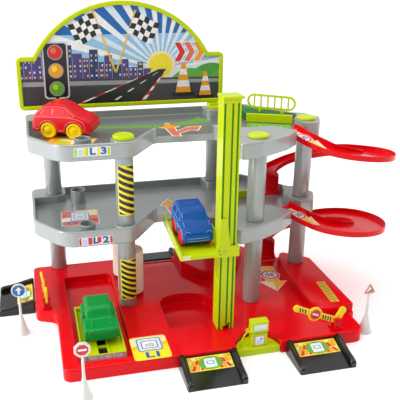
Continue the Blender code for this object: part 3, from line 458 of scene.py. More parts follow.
def soften(name, width=0.7, seg=2, mat=None, angle=32, slot=None):
    """Round the edges of a carried-over CAD node with modifiers and give it a material."""
    ob = NODES[name]
    weld = ob.modifiers.new("weld", "WELD")
    weld.merge_threshold = 0.00001
    flat = ob.modifiers.new("flat", "DECIMATE")
    flat.decimate_type = "DISSOLVE"
    flat.angle_limit = math.radians(1.0)
    bev = ob.modifiers.new("edges", "BEVEL")
    bev.width = width * MM
    bev.segments = seg
    bev.limit_method = "ANGLE"
    bev.angle_limit = math.radians(angle)
    bev.use_clamp_overlap = True
    bev.miter_outer = "MITER_ARC"
    w = ob.modifiers.new("even_shading", "WEIGHTED_NORMAL")
    w.keep_sharp = True
    return dress(name, mat)


def dress(name, mat):
    ob = NODES[name]
    if not ob.material_slots:
        ob.data.materials.append(mat)
    for s in ob.material_slots:
        s.material = mat
    return ob


# ------------------------------------------------------------ printed labels
class Label:
    """Flat shapes in a local plane (u right, v up), stacked as very thin films."""

    def __init__(self, name, place, body, bend=0.0, step=1.2):
        self.name, self.place, self.body, self.bend, self.step = name, place, body, bend, step
        self.bm = bmesh.new()
        self.mats = []

    def _index(self, ink):
        m = INK[ink]
        if m not in self.mats:
            self.mats.append(m)
        return self.mats.index(m)

    def poly(self, pts, layer, ink):
        area = sum(a[0] * b[1] - b[0] * a[1] for a, b in zip(pts, pts[1:] + pts[:1]))
        if abs(area) < 0.02:
            return self
        if area < 0:
            pts = pts[::-1]
        h0, h1 = -0.05, 0.07 + 0.06 * layer
        i = self._index(ink)
        lo = [self.bm.verts.new((u, v, h0)) for u, v in pts]
        hi = [self.bm.verts.new((u, v, h1)) for u, v in pts]
        faces = [self.bm.faces.new(hi), self.bm.faces.new(lo[::-1])]
        for k in range(len(pts)):
            j = (k + 1) % len(pts)
            faces.append(self.bm.faces.new((lo[k], lo[j], hi[j], hi[k])))
        for f in faces:
            f.material_index = i
        return self

    def rect(self, u0, u1, v0, v1, layer, ink, r=0.0):
        if r:
            return self.poly(round_corners([(u0, v0, r), (u1, v0, r), (u1, v1, r), (u0, v1, r)], 4), layer, ink)
        return self.poly([(u0, v0), (u1, v0), (u1, v1), (u0, v1)], layer, ink)

    def disc(self, u, v, r, layer, ink, n=32):
        return self.poly(circle(u, v, r, n), layer, ink)

    def text(self, word, u, v, size, layer, ink, squeeze=1.0, bold=0.0, way=1.0):
        cu = bpy.data.curves.new("figure", "FONT")
        cu.body = word
        cu.size = size
        cu.align_x = "CENTER"
        cu.align_y = "CENTER"
        cu.offset = bold
        cu.extrude = 0.03 + 0.03 * layer
        cu.resolution_u = 3
        ob = bpy.data.objects.new("figure", cu)
        bpy.context.scene.collection.objects.link(ob)
        bpy.context.view_layer.update()
        dg = bpy.context.evaluated_depsgraph_get()
        me = bpy.data.meshes.new_from_object(ob.evaluated_get(dg))
        bpy.data.objects.remove(ob, do_unlink=True)
        bpy.data.curves.remove(cu)
        i = self._index(ink)
        vs = [self.bm.verts.new((u + way * c.co.x * squeeze, v + way * c.co.y, c.co.z + 0.06 + 0.03 * layer))
              for c in me.vertices]
        for p in me.polygons:
            try:
                self.bm.faces.new([vs[k] for k in p.vertices]).material_index = i
            except ValueError:
                pass
        bpy.data.meshes.remove(me)
        return self

    def done(self):
        bm = self.bm
        if self.bend:
            us = [v.co.x for v in bm.verts]
            k = math.ceil(min(us) / self.step)
            while k * self.step < max(us):
                bmesh.ops.bisect_plane(bm, geom=bm.verts[:] + bm.edges[:] + bm.faces[:],
                                       plane_co=(k * self.step, 0, 0), plane_no=(1, 0, 0))
                k += 1
        bm.normal_update()
        bmesh.ops.triangulate(bm, faces=[f for f in bm.faces if len(f.verts) > 4])
        for v in bm.verts:
            v.co = self.place(*v.co)
        me = bpy.data.meshes.new(self.name)
        bm.to_mesh(me)
        bm.free()
        for m in self.mats:
            me.materials.append(m)
        ob = link(self.name, me)
        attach(ob, self.body)
        return ob


def plane(ox, oy, oz, u=(1, 0, 0), v=(0, 1, 0)):
    """A placing for flat labels: origin and the u and v directions (sketch mm)."""
    o, uu, vv = Vector((ox, oy, oz)), Vector(u).normalized(), Vector(v).normalized()
    nn = uu.cross(vv)

    def place(a, b, h):
        return W(*(o + uu * a + vv * b + nn * h))
    return place


def wrap(x, y, z, r, facing):
    """A placing round an upright tube; facing is the angle of u = 0, in degrees."""
    def place(a, b, h):
        t = math.radians(facing) + a / r
        return W(x + (r + h) * math.cos(t), y + (r + h) * math.sin(t), z + b)
    return place


# ------------------------------------------------------------ base
BASE_C = [
    (-14, -322, 12), (439, -322, 16), (439, -272, 3), (448, -269, 5),
    (448, -98, 12), (436, -86, 8), (404, -60, 8), (382, -28, 14), (344, 14, 12),
    (236, 14, 5), (236, -6, 3), (132, -6, 3), (132, 4, 3), (-46, 4, 9),
    (-46, -150, 14), (-14, -164, 16)]
BAY_C = [(5, -50, 6), (8, -292, 4), (86, -292, 4), (86, -50, 8)]
PIT_C = [(151, -252, 2), (212, -252, 2), (212, -242, 2), (241, -242, 2),
         (241, -182, 10), (228, -161, 18), (206, -151, 30),
         (178, -150, 30), (158, -158, 18), (151, -174, 10)]
RBLOCK_C = [(381, -246, 8), (397, -271, 6), (447.6, -267, 5), (447.6, -98, 12),
            (436, -86.4, 8), (404, -60.6, 8), (390, -84, 10), (386, -130, 30)]
BBLOCK_C = [(212, -66, 10), (244, -117, 12), (316, -76, 12), (335, -40, 10),
            (335, 13.6, 4), (236.4, 13.6, 3), (236.4, -6.4, 2), (212, -6.4, 3)]
NOTCH_C, NOTCH_R = (269.0, -319.0), 34.6


def ccw(corners):
    area = sum(a[0] * b[1] - b[0] * a[1] for a, b in zip(corners, corners[1:] + corners[:1]))
    return corners if area > 0 else corners[::-1]


BASE_C, BAY_C, PIT_C, RBLOCK_C, BBLOCK_C = (ccw(c) for c in (BASE_C, BAY_C, PIT_C, RBLOCK_C, BBLOCK_C))


def build_base():
    base = stack("base_shell", BASE_C, [(0.4, 0.0), (0.0, 0.5)] + round_top(2.6, FLOOR, 4))
    join(base,
         disc_stack("lobe_1", *COLUMNS[1], [(15.6, 0.0), (15.6, FLOOR - 2), (15.0, FLOOR - 0.6), (13.8, FLOOR - 0.02)]),
         stack("block_back", BBLOCK_C, [(0, FLOOR - 1.5)] + round_top(2.6, BLOCK_B, 4)),
         disc_stack("lobe_3", *COLUMNS[3], [(16.0, 0.0), (16.0, BLOCK_B - 2), (15.4, BLOCK_B - 0.6), (14.2, BLOCK_B - 0.03)]),
         stack("block_right", RBLOCK_C, [(0, FLOOR - 1.5)] + round_top(3.0, BLOCK_R, 4)))
    cut(base,
        stack("bay_cut", BAY_C, recess_layers(BAY, FLOOR, 1.5, 1.0)),
        skin("bay_lead_in", [
            [(8.3, -291, BAY + 0.2), (85.7, -291, BAY + 0.2), (85.7, -291, 60), (8.3, -291, 60)],
            [(8.3, -311, FLOOR + 0.5), (85.7, -311, FLOOR + 0.5), (85.7, -311, 60), (8.3, -311, 60)]]),
        skin("rear_slope", [
            [(139, -48, FLOOR + 0.2), (208, -48, FLOOR + 0.2), (208, -48, 60), (139, -48, 60)],
            [(139, 20, 5.0), (208, 20, 5.0), (208, 20, 60), (139, 20, 60)]]),
        stack("pit_cut", PIT_C, recess_layers(PIT, FLOOR, 2.0, 1.2)),
        disc_stack("notch_cut", *NOTCH_C, [(NOTCH_R, -5.0), (NOTCH_R, FLOOR - 0.8), (NOTCH_R + 0.2, FLOOR - 0.25),
                                           (NOTCH_R + 0.8, FLOOR + 0.03), (NOTCH_R + 0.8, 60.0)], 64))
    hollow = stack("hollow", offset(BASE_C, WALL), [(0, -2.0), (0, FLOOR - WALL)], 3)
    join(hollow,
         stack("hollow_right", offset(RBLOCK_C, WALL + 0.4), [(0, 2.0), (0, BLOCK_R - WALL)], 3),
         stack("hollow_back", offset(BBLOCK_C, WALL + 0.4), [(0, 2.0), (0, BLOCK_B - WALL)], 3))
    cut(hollow,
        stack("keep_bay", offset(BAY_C, -WALL), [(0, BAY - WALL), (0, 40.0)], 3),
        box("keep_lead", 8.3 - WALL, 85.7 + WALL, -315.0, -285.0, BAY - WALL - 0.4, 40.0),
        stack("keep_pit", offset(PIT_C, -WALL), [(0, -5.0), (0, 40.0)], 3),
        box("keep_rear", 136.5, 210.5, -52.0, 10.0, 7.0, 40.0),
        cyl("keep_notch", *NOTCH_C, -5.0, 40.0, NOTCH_R + WALL, 24),
        cyl("keep_lobe_1", *COLUMNS[1], -5.0, 60.0, 18.0, 12),
        cyl("keep_lobe_3", *COLUMNS[3], -5.0, 60.0, 18.5, 12))
    cut(base, baked(hollow))
    for k, (x, y) in COLUMNS.items():
        join(base, cyl("base_peg_%d" % k, x, y, FOOT[k] - 2.0, FOOT[k] + 8.0, 11.4, 24))
    return base


finish(build_base(), RED, "chassis", ["base"])

# ------------------------------------------------------------ spiral ramps
SPIRAL_HIGH = [(371, -127, 135.4, 22), (374.5, -133.5, 135.4, 21.5), (387, -156, 130.5, 18.5), (402, -179, 123.5, 20),
               (425, -200, 115.5, 22), (462, -210, 109, 25), (500, -197, 101, 26),
               (520, -160, 93, 27), (509, -119, 86, 27), (480, -86, 80, 26),
               (444, -62, 69, 25), (410, -40, 51, 24), (384, -34, 32, 23),
               (372, -50, 12, 23), (371, -66, 0.9, 23)]
SPIRAL_LOW = [(371, -127, 129.4, 22), (374.5, -133.5, 129.4, 21.5), (387, -156, 126.5, 18.5), (402, -179, 122, 20),
              (425, -200, 116.5, 22), (462, -209, 112, 25), (499, -196, 106.5, 26),
              (517, -160, 101, 27), (509, -119, 95, 27), (480, -86, 87, 26),
              (444, -62, 73, 25), (410, -40, 53, 24), (384, -34, 32, 23),
              (372, -50, 12, 23), (371, -66, 0.9, 23)]


def catmull(ctrl, per):
    out = []
    n = len(ctrl)
    for i in range(n - 1):
        p = [ctrl[max(i - 1, 0)], ctrl[i], ctrl[i + 1], ctrl[min(i + 2, n - 1)]]
        for s in range(per):
            t = s / per
            out.append(tuple(
                0.5 * (2 * p[1][k] + (p[2][k] - p[0][k]) * t
                       + (2 * p[0][k] - 5 * p[1][k] + 4 * p[2][k] - p[3][k]) * t * t
                       + (3 * p[1][k] - p[0][k] - 3 * p[2][k] + p[3][k]) * t ** 3)
                for k in range(len(p[0]))))
    out.append(tuple(float(v) for v in ctrl[-1]))
    return out


def build_spiral(name, ctrl, landing, per=9):
    path = catmull(ctrl, per)
    rings = []
    n = len(path)
    for i, (x, y, h, w) in enumerate(path):
        a, b = path[max(i - 1, 0)], path[min(i + 1, n - 1)]
        d = Vector((b[0] - a[0], b[1] - a[1])).normalized()
        left = Vector((-d.y, d.x))
        z = landing + h
        rim = 6.6 * min(1.0, 0.25 + 0.75 * min(i, n - 1 - i) / (2.0 * per / 3.0))
        q = min(1.1, rim / 3.2)
        half = [(w - 0.5, -2.0), (w - 0.15, -1.85), (w, -1.5), (w, rim - q), (w - 0.3 * q, rim - 0.3 * q),
                (w - q, rim), (w - 2.2 + q, rim), (w - 2.2 + 0.3 * q, rim - 0.3 * q), (w - 2.2, rim - q),
                (w - 2.2, q), (w - 2.2 - 0.3 * q, 0.3 * q), (w - 2.2 - q, 0.0)]
        section = half + [(-s, t) for s, t in half[::-1]]
        rings.append([(x + left.x * s, y + left.y * s, z + t) for s, t in section])
    return skin(name, rings)


finish(build_spiral("spiral_upper_shell", SPIRAL_HIGH, 151.0), RED, "chassis", ["spiral_ramp_upper"])
finish(build_spiral("spiral_lower_shell", SPIRAL_LOW, 22.0), RED, "chassis", ["spiral_ramp_lower"])

# ------------------------------------------------------------ decks
DECK_C = ccw([
    (-38, 28, 14), (-38, -118, 30), (6, -181.5, 36), (111, -182, 26), (157, -112.5, 12),
    (258, -116, 5), (262, -229, 9), (298, -222, 30), (350, -192, 24), (377, -165, 3),
    (404, -133, 3), (430, -130, 14), (445, -95, 14), (430, -62, 10), (412, -54, 6),
    (352, 28, 12)])
LOBE_OUT = ccw([(250, -136, 3), (250, -260, 0), (384.3, -260, 0), (384.3, -187, 0), (348, -136, 6)])
C5_OUT_2 = ccw([(386, -98, 4), (409.6, -140.2, 0), (417, -151, 0), (470, -151, 0), (470, -45, 0),
                (404, -45, 0), (396, -78, 4)])
C5_OUT_3 = ccw([(397.6, -103, 3), (399.5, -112, 2), (409.6, -140.2, 0), (417, -151, 0), (470, -151, 0),
                (470, -45, 0), (418, -45, 0), (411, -79, 2), (405, -86, 2), (400, -93, 2)])
CORNER_OUT = ccw([(-50, 40, 0), (-50, -18, 0), (20, -18, 17), (20, 40, 0)])
CUPS = {2: [(40.0, -20.0, 23.0), (42.0, -158.0, 17.0)], 3: [(42.0, -155.0, 16.0)]}


def notch(ctrl, margin=0.7, first=6, last=36, per=9):
    path = catmull(ctrl, per)
    near, far = [], []
    for i in range(first, last):
        a, b = path[i - 1], path[i + 1]
        d = Vector((b[0] - a[0], b[1] - a[1])).normalized()
        left = Vector((-d.y, d.x))
        x, y, w = path[i][0], path[i][1], path[i][3] + margin
        far.append((x + left.x * w, y + left.y * w))
        near.append((x - left.x * w, y - left.y * w))
    return near + far[::-1]


def flat_prism(name, pts, z0, z1):
    return skin(name, [[(x, y, z0) for x, y in pts], [(x, y, z1) for x, y in pts]])


def build_deck(level):
    z0 = DECKS[level]
    zf, z1 = z0 + DECK_FLOOR, z0 + RIM
    deck = stack("deck_%d_shell" % level, DECK_C, round_bottom(1.6, z0, 3) + round_top(2.4, z1, 4))
    lip = 1.5
    recess = stack("recess", DECK_C, [(5.0 + d, z) for d, z in recess_layers(zf, z1, 1.8, lip)])
    join(recess, flat_prism("mouth", [(356, -146), (389, -194), (424, -142), (396, -118)], zf, z1 + 5),
         flat_prism("lift_mouth", [(160, -130), (252, -130), (252, -100), (160, -100)], zf, z1 + 5))
    keep_top = [(0, zf - 5), (0, z1 - 1.6), (0.25, z1 - 0.75), (0.8, z1 - 0.2), (1.6, z1 + 0.03), (1.6, z1 + 40)]
    cut(recess,
        stack("lobe_keep", LOBE_OUT, keep_top),
        stack("block5_keep", C5_OUT_2 if level == 2 else C5_OUT_3, keep_top),
        stack("corner_keep", CORNER_OUT, keep_top),
        disc_stack("collar2", *COLUMNS[2], [(19.5 - d, z) for d, z in keep_top]),
        disc_stack("collar3", *COLUMNS[3], [(19.5 - d, z) for d, z in keep_top]),
        stack("collar3_wall", ccw([(270.5, 8, 0), (309.5, 8, 0), (309.5, 40, 0), (270.5, 40, 0)]), keep_top))
    baked(recess)
    cut(deck, recess, stack("under", offset(DECK_C, 3.0), [(0, z0 - 3), (0, zf - WALL)], 4))
    cut(deck, flat_prism("ramp_notch", notch(SPIRAL_LOW if level == 2 else SPIRAL_HIGH), z0 - 5, z1 + 5))
    for k, (x, y) in COLUMNS.items():
        join(deck, cyl("peg_down_%d" % k, x, y, zf - WALL - 8.0, zf - 1.0, 11.4, 24))
        if level == 2:
            join(deck, cyl("peg_up_%d" % k, x, y, z1 - 2.0, z1 + 8.0, 11.4, 24))
        else:
            cut(deck, cyl("cap_hole_%d" % k, x, y, z1 - 7.5, z1 + 5, 9.7, 32))
    for i, (x, y, h) in enumerate(CUPS[level]):
        join(deck, turned("cup_%d" % i, x, y, [
            (13.6, zf - 1.0), (13.2, zf + 0.6), (12.7, zf + 2.0), (12.4, zf + h - 0.7), (12.1, zf + h - 0.2), (11.6, zf + h), (11.1, zf + h),
            (10.7, zf + h - 0.2), (10.4, zf + h - 0.7), (10.2, zf - 1.0)], 48, closed=True))
    return deck


finish(build_deck(2), GREY, "chassis", ["deck_level_2"])
finish(build_deck(3), GREY, "chassis", ["deck_level_3"])

# ------------------------------------------------------------ columns and caps
for k, (x, y) in COLUMNS.items():
    for part, z0, z1 in (("lower", FOOT[k] + 0.3, DECKS[2] + DECK_FLOOR - WALL - 0.3),
                         ("upper", DECKS[2] + RIM + 0.3, DECKS[3] + DECK_FLOOR - WALL - 0.3)):
        tube = turned("column_%s_%d_tube" % (part, k), x, y, [
            (14.0, z1 - 0.6), (14.0, z0 + 0.8), (13.8, z0 + 0.3), (13.3, z0), (12.2, z0), (11.9, z0 + 0.4),
            (11.9, z1 - 0.3), (12.2, z1), (13.5, z1)], 72, closed=True)
        finish(tube, GREY_COL, "chassis", ["column_%s_%d" % (part, k)], weighted=False)

for k in (2, 4, 5):
    x, y = COLUMNS[k]
    h = 6.5 if k == 2 else 5.0
    cap = turned("cap_%d_dome" % k, x, y, [
        (0, TOP + h - 0.7), (6.0, TOP + h - 0.75), (11.0, TOP + h - 0.95), (12.0, TOP + h - 0.8), (12.8, TOP + h - 0.4), (13.6, TOP + h - 0.35),
        (14.8, TOP + h - 0.9), (15.7, TOP + h - 1.9), (16.2, TOP + h - 3.2), (16.2, TOP + 0.5), (15.9, TOP + 0.3),
        (9.0, TOP + 0.3), (9.0, TOP - 6.0), (0, TOP - 6.0)], 64)
    finish(cap, LIME, "chassis", ["column_cap_%d" % k], angle=50)

# ------------------------------------------------------------ sign
SIGN_Y, SIGN_Z0, SIGN_SHOULDER = (18.0, 24.0), 304.4, 392.7
ARCH_C, ARCH_R = (131.0, 309.2), 170.6


def sign_outline(inset, n=48):
    x0, x1 = -45.8 + inset, 307.8 - inset
    zs, r = SIGN_SHOULDER - inset, ARCH_R - inset
    half = math.sqrt(r * r - (zs - ARCH_C[1]) ** 2)
    a = math.degrees(math.asin((zs - ARCH_C[1]) / r))
    arc = circle(ARCH_C[0], ARCH_C[1], r, n, a, 180.0 - a)
    rr = max(1.0, 9.0 - inset)
    outline = round_corners([(x0, zs, rr), (x0, SIGN_Z0 + inset, rr),
                             (x1, SIGN_Z0 + inset, rr), (x1, zs, rr)], 5)
    return outline + [(ARCH_C[0] + half, zs + 0.1)] + arc[1:-1] + [(ARCH_C[0] - half, zs + 0.1)]


sign_rings = []
for inset, y in ((0.6, 24.0), (0.15, 23.7), (0.0, 23.2), (0.0, 19.3), (0.3, 18.5), (1.0, 18.05), (1.8, 18.0),
                 (5.4, 18.0), (6.1, 18.1), (6.7, 18.5), (7.0, 19.3), (7.0, 20.9), (4.1, 20.95), (4.1, 24.0)):
    sign_rings.append((sign_outline(inset), y))
finish(upright(sign_rings, "sign_frame_moulding"), LIME, "chassis", ["sign_frame"])


def clip(pts, keep):
    """Cut a polygon by a half plane; keep is (nx, nz, d): nx*x + nz*z <= d stays."""
    nx, nz, d = keep
    out = []
    for a, b in zip(pts, pts[1:] + pts[:1]):
        fa, fb = nx * a[0] + nz * a[1] - d, nx * b[0] + nz * b[1] - d
        if fa <= 0:
            out.append(a)
        if (fa < 0 < fb) or (fb < 0 < fa):
            t = fa / (fa - fb)
            out.append((a[0] + (b[0] - a[0]) * t, a[1] + (b[1] - a[1]) * t))
    return out


def clip_convex(pts, region):
    """region is a counterclockwise convex outline."""
    for a, b in zip(region, region[1:] + region[:1]):
        nx, nz = b[1] - a[1], a[0] - b[0]
        pts = clip(pts, (nx, nz, nx * a[0] + nz * a[1]))
        if len(pts) < 3:
            return []
    return pts


INSET = 5.0
zs = SIGN_SHOULDER - INSET
LOW_REGION = [(-45.8 + INSET, SIGN_Z0 + INSET), (307.8 - INSET, SIGN_Z0 + INSET), (307.8 - INSET, zs), (-45.8 + INSET, zs)]
r_in = ARCH_R - INSET
a_in = math.degrees(math.asin((zs - ARCH_C[1]) / r_in))
HIGH_REGION = circle(ARCH_C[0], ARCH_C[1], r_in, 48, a_in, 180 - a_in)


class SignPrint(Label):
    def shape(self, pts, layer, ink):
        """A convex shape in sign coordinates (x, z), kept inside the board."""
        area = sum(a[0] * b[1] - b[0] * a[1] for a, b in zip(pts, pts[1:] + pts[:1]))
        if area < 0:
            pts = pts[::-1]
        for region in (LOW_REGION, HIGH_REGION):
            part = clip_convex(list(pts), region)
            clean = []
            for p in part:
                if not clean or math.dist(p, clean[-1]) > 0.02:
                    clean.append(p)
            if len(clean) > 2 and math.dist(clean[0], clean[-1]) < 0.02:
                clean.pop()
            if len(clean) > 2:
                self.poly(clean, layer, ink)
        return self


def sign_place(a, b, h):
    return W(a, 21.3 - h, b)


art = SignPrint("sign_print", sign_place, "chassis")
# sky in bands, from the horizon up
bands = [(300, 372, "pale"), (372, 400, "sky"), (400, 426, "sky"), (426, 480, "blue")]
for z0, z1, ink in bands:
    art.shape([(-60, z0), (320, z0), (320, z1), (-60, z1)], 0, ink)
# rays that fan out from the horizon
for i in range(16):
    a0 = math.radians(4 + i * 11.2)
    a1 = a0 + math.radians(5.2)
    far = 330
    art.shape([(196, 366), (196 + far * math.cos(a0), 366 + far * math.sin(a0)),
               (196 + far * math.cos(a1), 366 + far * math.sin(a1))], 1, "pale" if i % 2 else "white")
# low sun
art.disc(196, 372, 25, 2, "cream").disc(196, 372, 20, 3, "yellow")
# skyline
heights = [34, 52, 41, 64, 47, 30, 58, 44, 36, 50, 29, 40, 24, 33, 19, 27, 16]
x = -44.0
for i, h in enumerate(heights):
    w = 9.5 + (i * 7 % 5) * 1.6
    art.shape([(x, 350), (x + w, 350), (x + w, 352 + h), (x, 352 + h)], 4, "violet" if i % 3 else "navy")
    for r in range(int(h / 9)):
        for c in range(2):
            if (i * 5 + r * 3 + c) % 4:
                u = x + 2.2 + c * (w - 6.6)
                art.shape([(u, 357 + r * 8.4), (u + 2.4, 357 + r * 8.4), (u + 2.4, 360.4 + r * 8.4), (u, 360.4 + r * 8.4)],
                          5, "gold" if (i + r) % 3 else "pale")
    x += w + 0.6
# hills to the right
for cx_, cz_, rr_, ink in ((286, 330, 44, "green"), (250, 320, 46, "leaf"), (318, 322, 44, "leaf")):
    art.shape(circle(cx_, cz_, rr_, 40), 4 if ink == "green" else 5, ink)
# ground, and a road that runs up to the horizon
art.shape([(-60, 300), (320, 300), (320, 349), (-60, 356)], 6, "asphalt")
art.shape([(-60, 344), (-60, 352), (320, 346), (320, 340)], 7, "grey")
road = [(30, 300), (150, 300), (206, 366), (192, 366)]
for k in range(9):
    t0, t1 = k / 9, (k + 1) / 9
    for e0, e1, base_ in ((road[0], road[3], -1), (road[1], road[2], 1)):
        f = 1 - 0.9 * t0
        g = 1 - 0.9 * t1
        p0 = (e0[0] + (e1[0] - e0[0]) * t0, e0[1] + (e1[1] - e0[1]) * t0)
        p1 = (e0[0] + (e1[0] - e0[0]) * t1, e0[1] + (e1[1] - e0[1]) * t1)
        art.shape([p0, (p0[0] + base_ * 9 * f, p0[1]), (p1[0] + base_ * 9 * g, p1[1]), p1], 8,
                  "red" if k % 2 else "white")
art.shape(road, 9, "black")
for k in range(5):
    t0, t1 = k / 5 + 0.04, k / 5 + 0.13
    c0 = (90 + 109 * t0, 300 + 66 * t0)
    c1 = (90 + 109 * t1, 300 + 66 * t1)
    art.shape([(c0[0] - 3.4 * (1 - 0.9 * t0), c0[1]), (c0[0] + 3.4 * (1 - 0.9 * t0), c0[1]),
               (c1[0] + 3.4 * (1 - 0.9 * t1), c1[1]), (c1[0] - 3.4 * (1 - 0.9 * t1), c1[1])], 10, "white")
# traffic light at the left
LX = 18.0
art.shape([(LX - 3, 300), (LX + 3, 300), (LX + 3, 330), (LX - 3, 330)], 11, "silver")
art.shape(round_corners([(LX - 21, 322, 6), (LX + 21, 322, 6), (LX + 21, 416, 6), (LX - 21, 416, 6)], 4), 11, "silver")
art.shape(round_corners([(LX - 18.5, 324.5, 5), (LX + 18.5, 324.5, 5), (LX + 18.5, 413.5, 5), (LX - 18.5, 413.5, 5)], 4), 12, "black")
for cz_, ink, glow in ((399, "red", "coral"), (369, "orange", "yellow"), (339, "leaf", "lime")):
    art.shape(circle(LX, cz_, 12.6, 36), 13, "grey")
    art.shape(circle(LX, cz_, 11.0, 36), 14, ink)
    art.shape(circle(LX - 2.5, cz_ + 3.0, 4.6, 24), 15, glow)
# two chequered flags that cross above the road
for s in (-1, 1):
    ox, oz = 118.0, 384.0
    ang = math.radians(90 - s * 24)
    ux, uz = math.cos(ang), math.sin(ang)
    vx, vz = (uz, -ux) if s > 0 else (-uz, ux)
    art.shape([(ox - 1.4, oz - 22), (ox + 1.4, oz - 22), (ox + ux * 88 + 1.4, oz + uz * 88), (ox + ux * 88 - 1.4, oz + uz * 88)], 11, "gold")
    for i in range(5):
        for j in range(4):
            w0 = 2.2 * math.sin(i * 1.25)
            w1 = 2.2 * math.sin((i + 1) * 1.25)
            quad = []
            for a, b, wv in ((i, j, w0), (i + 1, j, w1), (i + 1, j + 1, w1), (i, j + 1, w0)):
                along = 48 + b * 9.2 + wv
                across = 1.6 + a * 9.0
                quad.append((ox + ux * along + vx * across, oz + uz * along + vz * across))
            art.shape(quad, 12, "black" if (i + j) % 2 else "white")
# three chevrons and two cones at the right
for i, ink in enumerate(("red", "coral", "orange")):
    x0, zc = 220 + i * 17, 394
    for s in (-1, 1):
        art.shape([(x0 - 1.5, zc + s * 17.5), (x0 + 11.5, zc + s * 17.5), (x0 + 21.5, zc), (x0 + 7.0, zc)], 11, "white")
        art.shape([(x0, zc + s * 16), (x0 + 10, zc + s * 16), (x0 + 19, zc), (x0 + 9, zc)], 12, ink)
for x0, z0, s in ((236, 318, 1.0), (276, 313, 0.8)):
    art.shape([(x0 - 21 * s, z0), (x0 + 21 * s, z0), (x0 + 19 * s, z0 + 6 * s), (x0 - 19 * s, z0 + 6 * s)], 13, "black")
    art.shape([(x0 - 14 * s, z0 + 6 * s), (x0 + 14 * s, z0 + 6 * s), (x0 + 3 * s, z0 + 58 * s), (x0 - 3 * s, z0 + 58 * s)],
              13, "orange")
    for a0, a1 in ((16, 27), (37, 47)):
        w0, w1 = 14 - 11 * (a0 - 6) / 52, 14 - 11 * (a1 - 6) / 52
        art.shape([(x0 - w0 * s, z0 + a0 * s), (x0 + w0 * s, z0 + a0 * s), (x0 + w1 * s, z0 + a1 * s),
                   (x0 - w1 * s, z0 + a1 * s)], 14, "white")
art.done()

# ------------------------------------------------------------ black access ramps
RAMP_W, RAMP_L, RAMP_H = 86.0, 58.0, 16.0
RAMPS = {"front_ramp_left": (190.0, -322.0, 0), "front_ramp_right": (353.0, -322.0, 0),
         "left_ramp": (-46.3, -81.0, -90), "rear_ramp": (181.0, -5.7, 180)}


def ramp_place(x, y, rz):
    c, s = math.cos(math.radians(rz)), math.sin(math.radians(rz))

    def place(a, b, z):
        return W(x + a * c - b * s, y + a * s + b * c, z)
    return place


def build_ramp(name, spot):
    place = ramp_place(*spot)
    w, l, h = RAMP_W / 2, RAMP_L, RAMP_H
    rows = []
    for t in [k / 10 for k in range(11)]:
        y = -0.3 + (-l + 0.3) * t
        top = h + (1.8 - h) * t
        low = max(0.3, h - 4.0 + (0.3 - h + 4.0) * t)
        rows.append([(-w + 3, y, low), (w - 3, y, low), (w - 3, y, top), (-w + 3, y, top)])
    plate = skin(name + "_plate", rows, place=place)
    for s in (-1, 1):
        rings = []
        rows_ = [(-0.3, 21.2, 0.8), (-1.2, 22.2, 0.2), (-4.0, 22.6, 0.0), (-12, 20.7, 0), (-24, 17.4, 0),
                 (-36, 14.5, 0), (-50, 12.6, 0), (-l + 4.5, 11.6, 0), (-l + 1.8, 10.4, 0.3), (-l + 0.4, 8.6, 0.9), (-l, 6.8, 1.6)]
        for y, top, pinch in rows_:
            xo, xi = w - pinch, w - 9.0 + pinch
            mid, hw = (xo + xi) / 2, (xo - xi) / 2
            ring = [(xo, 0.0), (xo, top - hw * 0.8)]
            for a in range(1, 8):
                t = math.pi * a / 8
                ring.append((mid + hw * math.cos(t), top - hw * 0.8 + hw * 0.8 * math.sin(t)))
            ring += [(xi, top - hw * 0.8), (xi, 0.0)]
            ring = [(s * a, y, z) for a, z in ring]
            rings.append(ring if s > 0 else ring[::-1])
        join(plate, skin(name + "_rail", rings, place=place))
    return plate


for name, spot in RAMPS.items():
    finish(build_ramp(name, spot), BLACK_DULL if name == "rear_ramp" else BLACK, "chassis", [name])
    if name == "rear_ramp":
        continue                        # no print shows on this one
    rise = math.atan2(RAMP_H - 1.8, RAMP_L - 0.3)
    c, s = math.cos(math.radians(spot[2])), math.sin(math.radians(spot[2]))
    u = (c, s, 0.0)
    v = (-s * math.cos(rise), c * math.cos(rise), math.sin(rise))
    t = 0.27
    y = -0.3 - (RAMP_L - 0.3) * t
    z = RAMP_H - (RAMP_H - 1.8) * t
    lab = Label(name + "_sticker", plane(spot[0] - y * s, spot[1] + y * c, z, u, v), "chassis")
    lab.rect(-32, 32, -13, 13, 0, "yellow")
    for i in range(-6, 6):
        for j in range(-2, 2):
            ink = ("orange", "lime", "cream", "gold")[(i * 3 + j * 5) % 4]
            lab.rect(i * 5.2 + 0.5, i * 5.2 + 4.9, j * 6.0 + 0.4, j * 6.0 + 5.4, 1, ink)
    for sx in (-1, 1):
        for k in range(3):
            a = sx * (29 - k * 6.0)
            lab.poly([(a, -11), (a - sx * 4.6, -11), (a - sx * 7.6, -3), (a - sx * 3.0, -3)], 2, "red" if k % 2 == 0 else "orange")
            if k < 2:
                lab.poly([(a, -1), (a - sx * 4.6, -1), (a - sx * 7.6, 7), (a - sx * 3.0, 7)], 2, "orange" if k % 2 == 0 else "red")
    lab.poly([(px * 1.55, py) for px, py in circle(0, 0, 11.6, 36)], 3, "leaf")
    lab.rect(-8.5, 8.5, -8.2, 8.2, 4, "white", 1.5)
    lab.rect(-7.4, 7.4, -7.1, 7.1, 5, "pale", 1.0)
    lab.rect(-5.4, 5.4, -2.2, 3.4, 6, "blue", 0.8).rect(-4.2, 4.2, -1.2, 2.4, 7, "white")
    lab.done()

# ------------------------------------------------------------ lift tower
soften("lift_tower", 0.5, 2, LIME)
soften("tower_cap", 0.8, 3, LIME)
tx0, tx1, ty0, ty1 = TOWER
